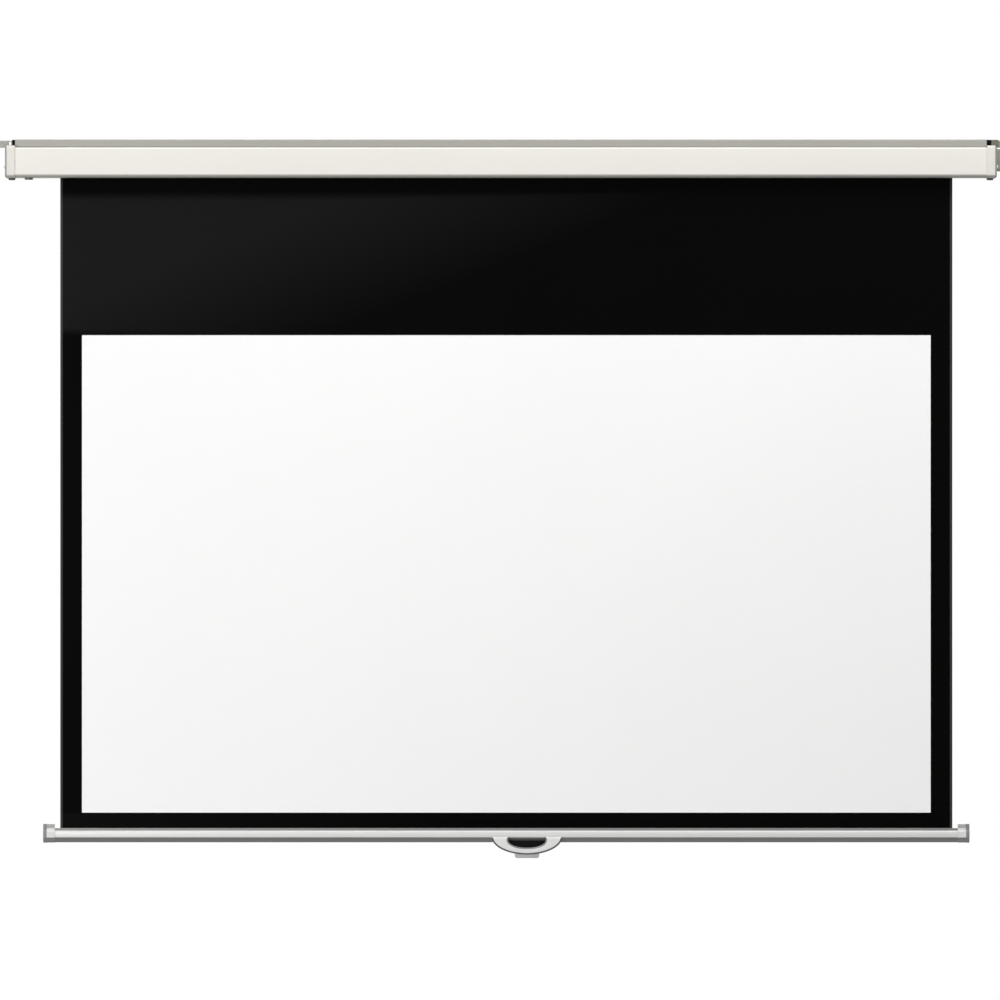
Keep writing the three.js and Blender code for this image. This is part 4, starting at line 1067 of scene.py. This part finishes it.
def slab(name, columns, rows, kept, front, thickness):
    """A thin closed sheet on a grid of x and z, with only the cells for which kept is true."""
    work = bmesh.new()
    points = {}

    def corner(i, j, side):
        key = (i, j, side)
        if key not in points:
            x, z = columns[i], rows[j]
            y = front + hang(x, z) + (thickness if side else 0)
            points[key] = work.verts.new((x, y, z))
        return points[key]

    cells = {
        (i, j)
        for i in range(len(columns) - 1)
        for j in range(len(rows) - 1)
        if kept((columns[i] + columns[i + 1]) / 2, (rows[j] + rows[j + 1]) / 2)
    }
    for i, j in sorted(cells):
        ring = [(i, j), (i + 1, j), (i + 1, j + 1), (i, j + 1)]
        work.faces.new([corner(*p, 0) for p in ring])
        work.faces.new([corner(*p, 1) for p in reversed(ring)])
        for k, (di, dj) in enumerate(((0, -1), (1, 0), (0, 1), (-1, 0))):
            if (i + di, j + dj) in cells:
                continue
            a, b = ring[k], ring[(k + 1) % 4]
            work.faces.new([corner(*b, 0), corner(*a, 0), corner(*a, 1), corner(*b, 1)])
    bmesh.ops.recalc_face_normals(work, faces=work.faces)
    mesh = bpy.data.meshes.new(name)
    work.to_mesh(mesh)
    work.free()
    smooth(mesh, FABRIC_SMOOTH_ANGLE)
    return add_object(name, mesh)


def steps_between(low, high, count):
    return [low + (high - low) * i / count for i in range(count + 1)]


def join_steps(*runs):
    """One rising list of places from runs that share their ends."""
    return sorted({round(value, GRID_DECIMALS) for run in runs for value in run})


def hanging_fabric():
    """The white sheet with a gray back, and the black masking printed round its viewing area."""
    left, right = fabric_centre - VIEWING_WIDTH / 2, fabric_centre + VIEWING_WIDTH / 2
    columns = join_steps(
        steps_between(fabric_low[0], left, SIDE_COLUMNS),
        steps_between(left, right, VIEW_COLUMNS),
        steps_between(right, fabric_high[0], SIDE_COLUMNS),
    )
    rows = join_steps(
        steps_between(fabric_low[2] + HEM_GAP, view_top, VIEW_ROWS),
        steps_between(view_top, fabric_high[2], DROP_ROWS),
    )
    fabric = slab("hanging_fabric", columns, rows, lambda x, z: True, fabric_low[1], FABRIC_THICKNESS)
    stand_for(fabric, "screen_fabric", screen_white, "case")
    toned(fabric, lambda face: face.normal.y > -FACING, screen_back)

    def masked(x, z):
        return not (left < x < right and z < view_top)

    mask_low, mask_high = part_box("black_masking")
    mask = slab("printed_masking", columns, rows, masked, mask_low[1], mask_high[1] - mask_low[1])
    stand_for(mask, "black_masking", mask_black, "case")

    for piece in (fabric, mask):
        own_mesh(piece)


def lower_border():
    """The black border under the picture, with its hem round the rod in the bar."""
    low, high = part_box("bottom_border")
    rod_low, rod_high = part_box("hem_rod")
    half = FABRIC_THICKNESS / 2
    inner = (rod_high[2] - rod_low[2]) / 2 + SMALL_GAP
    outer = inner + FABRIC_THICKNESS
    centre = bar_high[2] - HEM_ROD_DROP
    outline = [(fabric_middle + half, high[2]), (fabric_middle - half, high[2]), *hem_pocket(outer, half)]
    loops = [outline, circle(fabric_middle, centre, inner, ROUND_STEPS)]
    piece = prism("lower_border", "x", loops, low[0], high[0], FABRIC_EDGE, FABRIC_EDGE_STEPS)
    stand_for(piece, "bottom_border", mask_black, "weight_bar")
    toned(piece, lambda face: face.normal.y > FACING, screen_back)


def winding():
    """The last turns of fabric on the roller, a spiral that runs off where the hanging sheet starts."""
    low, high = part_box("fabric_wraps")
    tube_low, tube_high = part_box("roller_tube")
    axis_y, axis_z = (tube_low[1] + tube_high[1]) / 2, (tube_low[2] + tube_high[2]) / 2
    outer = high[1] - axis_y
    pitch = FABRIC_THICKNESS + WINDING_GAP
    path = []
    for turns in steps_between(0, WINDING_TURNS, int(WINDING_TURNS * WINDING_STEPS)):
        radius = outer - pitch * turns
        angle = 2 * math.pi * turns
        path.append((axis_y + radius * math.cos(angle), axis_z + radius * math.sin(angle)))
    section = bent_sheet(path, FABRIC_THICKNESS)
    piece = prism("roller_winding", "x", [section], low[0], high[0], FABRIC_EDGE, FABRIC_EDGE_STEPS)
    stand_for(piece, "fabric_wraps", screen_back, "roller")


# Setting, in metres and watts. The column and the row are places in the photo, in pixels

CAMERA_DISTANCE = 30.0
CAMERA_REACH = 200.0
SENSOR_WIDTH_MM = 36.0
FRAME_WIDTH = 2.4
PIXELS = 1000
CENTRE_COLUMN = 500.9
FABRIC_TOP_ROW = 159.1
FLOOR_HEIGHT = -2.3
FLOOR_RADIUS = 2.6
FLOOR_SEGMENTS = 96
FLOOR_PALE = 0.86
FLOOR_BOUNCE = 0.4
FLOOR_GLOW = (1.0, 0.25)
FLOOR_GLOW_SHARES = (0.0, 0.45)
SKY_STRENGTHS = (0.10, 0.55)
SKY_HEIGHT_SHARES = (-0.6, 0.9)
WHITE = (1, 1, 1)

# Place, target, size and power of each lamp
LAMPS = {
    "side": ((-4.0, -4.2, -0.4), (0, 0, -0.9), (2.6, 2.6), 140),
    "upper_right": ((2.2, -2.6, 2.0), (0.9, 0, -0.2), (1.6, 1.6), 68),
    "top": ((-0.8, -2.4, 2.6), (-0.2, 0, -0.3), (3.0, 1.6), 46),
    "back": ((0.0, 4.5, 2.0), (0, 0, -0.6), (3.5, 2.0), 160),
}


def background_rays(tree):
    """1 where the background is seen straight, in a reflection or through something clear."""
    rays = tree.nodes.new("ShaderNodeLightPath").outputs
    straight_or_glossy = maths(tree, "MAXIMUM", rays["Is Camera Ray"], rays["Is Glossy Ray"])
    return maths(tree, "MAXIMUM", straight_or_glossy, rays["Is Transmission Ray"])


def blend(tree, factor, first, second):
    """A mix of two shaders."""
    node = tree.nodes.new("ShaderNodeMixShader")
    for socket, value in zip(node.inputs, (factor, first.outputs[0], second.outputs[0])):
        tree.links.new(value, socket)
    return node.outputs[0]


def floor():
    """A pale round floor whose rim glows into the white background where it is seen."""
    work = bmesh.new()
    bmesh.ops.create_circle(work, cap_ends=True, radius=FLOOR_RADIUS, segments=FLOOR_SEGMENTS)
    mesh = bpy.data.meshes.new("floor")
    work.to_mesh(mesh)
    work.free()
    piece = add_object("floor", mesh)
    piece.location = (0, 0, FLOOR_HEIGHT)
    material, tree, shader = shader_of("pale_floor", 0.9)
    seen = background_rays(tree)
    pale = mixed(tree, seen, shade(WHITE, FLOOR_BOUNCE), shade(WHITE, FLOOR_PALE))
    tree.links.new(pale, shader.inputs["Base Color"])
    gradient = tree.nodes.new("ShaderNodeTexGradient")
    gradient.gradient_type = "SPHERICAL"
    tree.links.new(place_nodes(tree, (1 / FLOOR_RADIUS,) * 3), gradient.inputs["Vector"])
    rim = spread(tree, gradient.outputs["Fac"], *FLOOR_GLOW, *FLOOR_GLOW_SHARES)
    emission = tree.nodes.new("ShaderNodeEmission")
    surface = blend(tree, maths(tree, "MULTIPLY", rim, seen), shader, emission)
    tree.links.new(surface, tree.nodes["Material Output"].inputs["Surface"])
    mesh.materials.append(material)


def world():
    """White where it is seen. As light it is bright above and dim below."""
    setting = bpy.data.worlds.new("studio")
    bpy.context.scene.world = setting
    setting.use_nodes = True
    tree = setting.node_tree
    tree.nodes.clear()
    output = tree.nodes.new("ShaderNodeOutputWorld")
    seen = tree.nodes.new("ShaderNodeBackground")
    light = tree.nodes.new("ShaderNodeBackground")
    for background in (seen, light):
        feed(tree, background.inputs["Color"], WHITE)
    coordinates = tree.nodes.new("ShaderNodeTexCoord")
    height = along(tree, coordinates.outputs["Generated"], "Z")
    strength = spread(tree, height, *SKY_STRENGTHS, *SKY_HEIGHT_SHARES)
    tree.links.new(strength, light.inputs["Strength"])
    surface = blend(tree, background_rays(tree), light, seen)
    tree.links.new(surface, output.inputs["Surface"])


def lights():
    for name, (place, target, size, power) in LAMPS.items():
        data = bpy.data.lights.new(name, "AREA")
        data.shape = "RECTANGLE"
        data.size, data.size_y = size
        data.energy = power
        lamp = add_object(name, data)
        lamp.location = place
        lamp.rotation_euler = (Vector(target) - Vector(place)).to_track_quat("-Z", "Y").to_euler()


def camera():
    """Far off and straight in front, so that the picture has almost no perspective, as in the photo."""
    data = bpy.data.cameras.new("camera")
    data.sensor_width = SENSOR_WIDTH_MM
    data.lens = SENSOR_WIDTH_MM * CAMERA_DISTANCE / FRAME_WIDTH
    data.clip_end = CAMERA_REACH
    eye = add_object("camera", data)
    pixel = FRAME_WIDTH / PIXELS
    aside, height = (PIXELS / 2 - CENTRE_COLUMN) * pixel, (FABRIC_TOP_ROW - PIXELS / 2) * pixel
    eye.location = (aside, fabric_middle - CAMERA_DISTANCE, height)
    eye.rotation_euler = (math.pi / 2, 0, 0)
    bpy.context.scene.camera = eye


def dress():
    finish_cad_nodes()
    cover()
    channel()
    rail()
    for side in (-1, 1):
        end_cap(side)
        bracket(side)
        bar_cap(side)
    axle_cover()
    cap_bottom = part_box(END_CAPS[-1])[0][2]
    foot("left_cap_foot", cap_bottom, foot_rubber)
    foot("right_cap_foot", cap_bottom, foot_rubber)
    foot("clamp_screw", shell_low[2], dark_steel)
    weight_bar()
    handle()
    winding()
    hanging_fabric()
    lower_border()


dress()
floor()
world()
lights()
camera()
bpy.context.scene.view_settings.view_transform = "Standard"
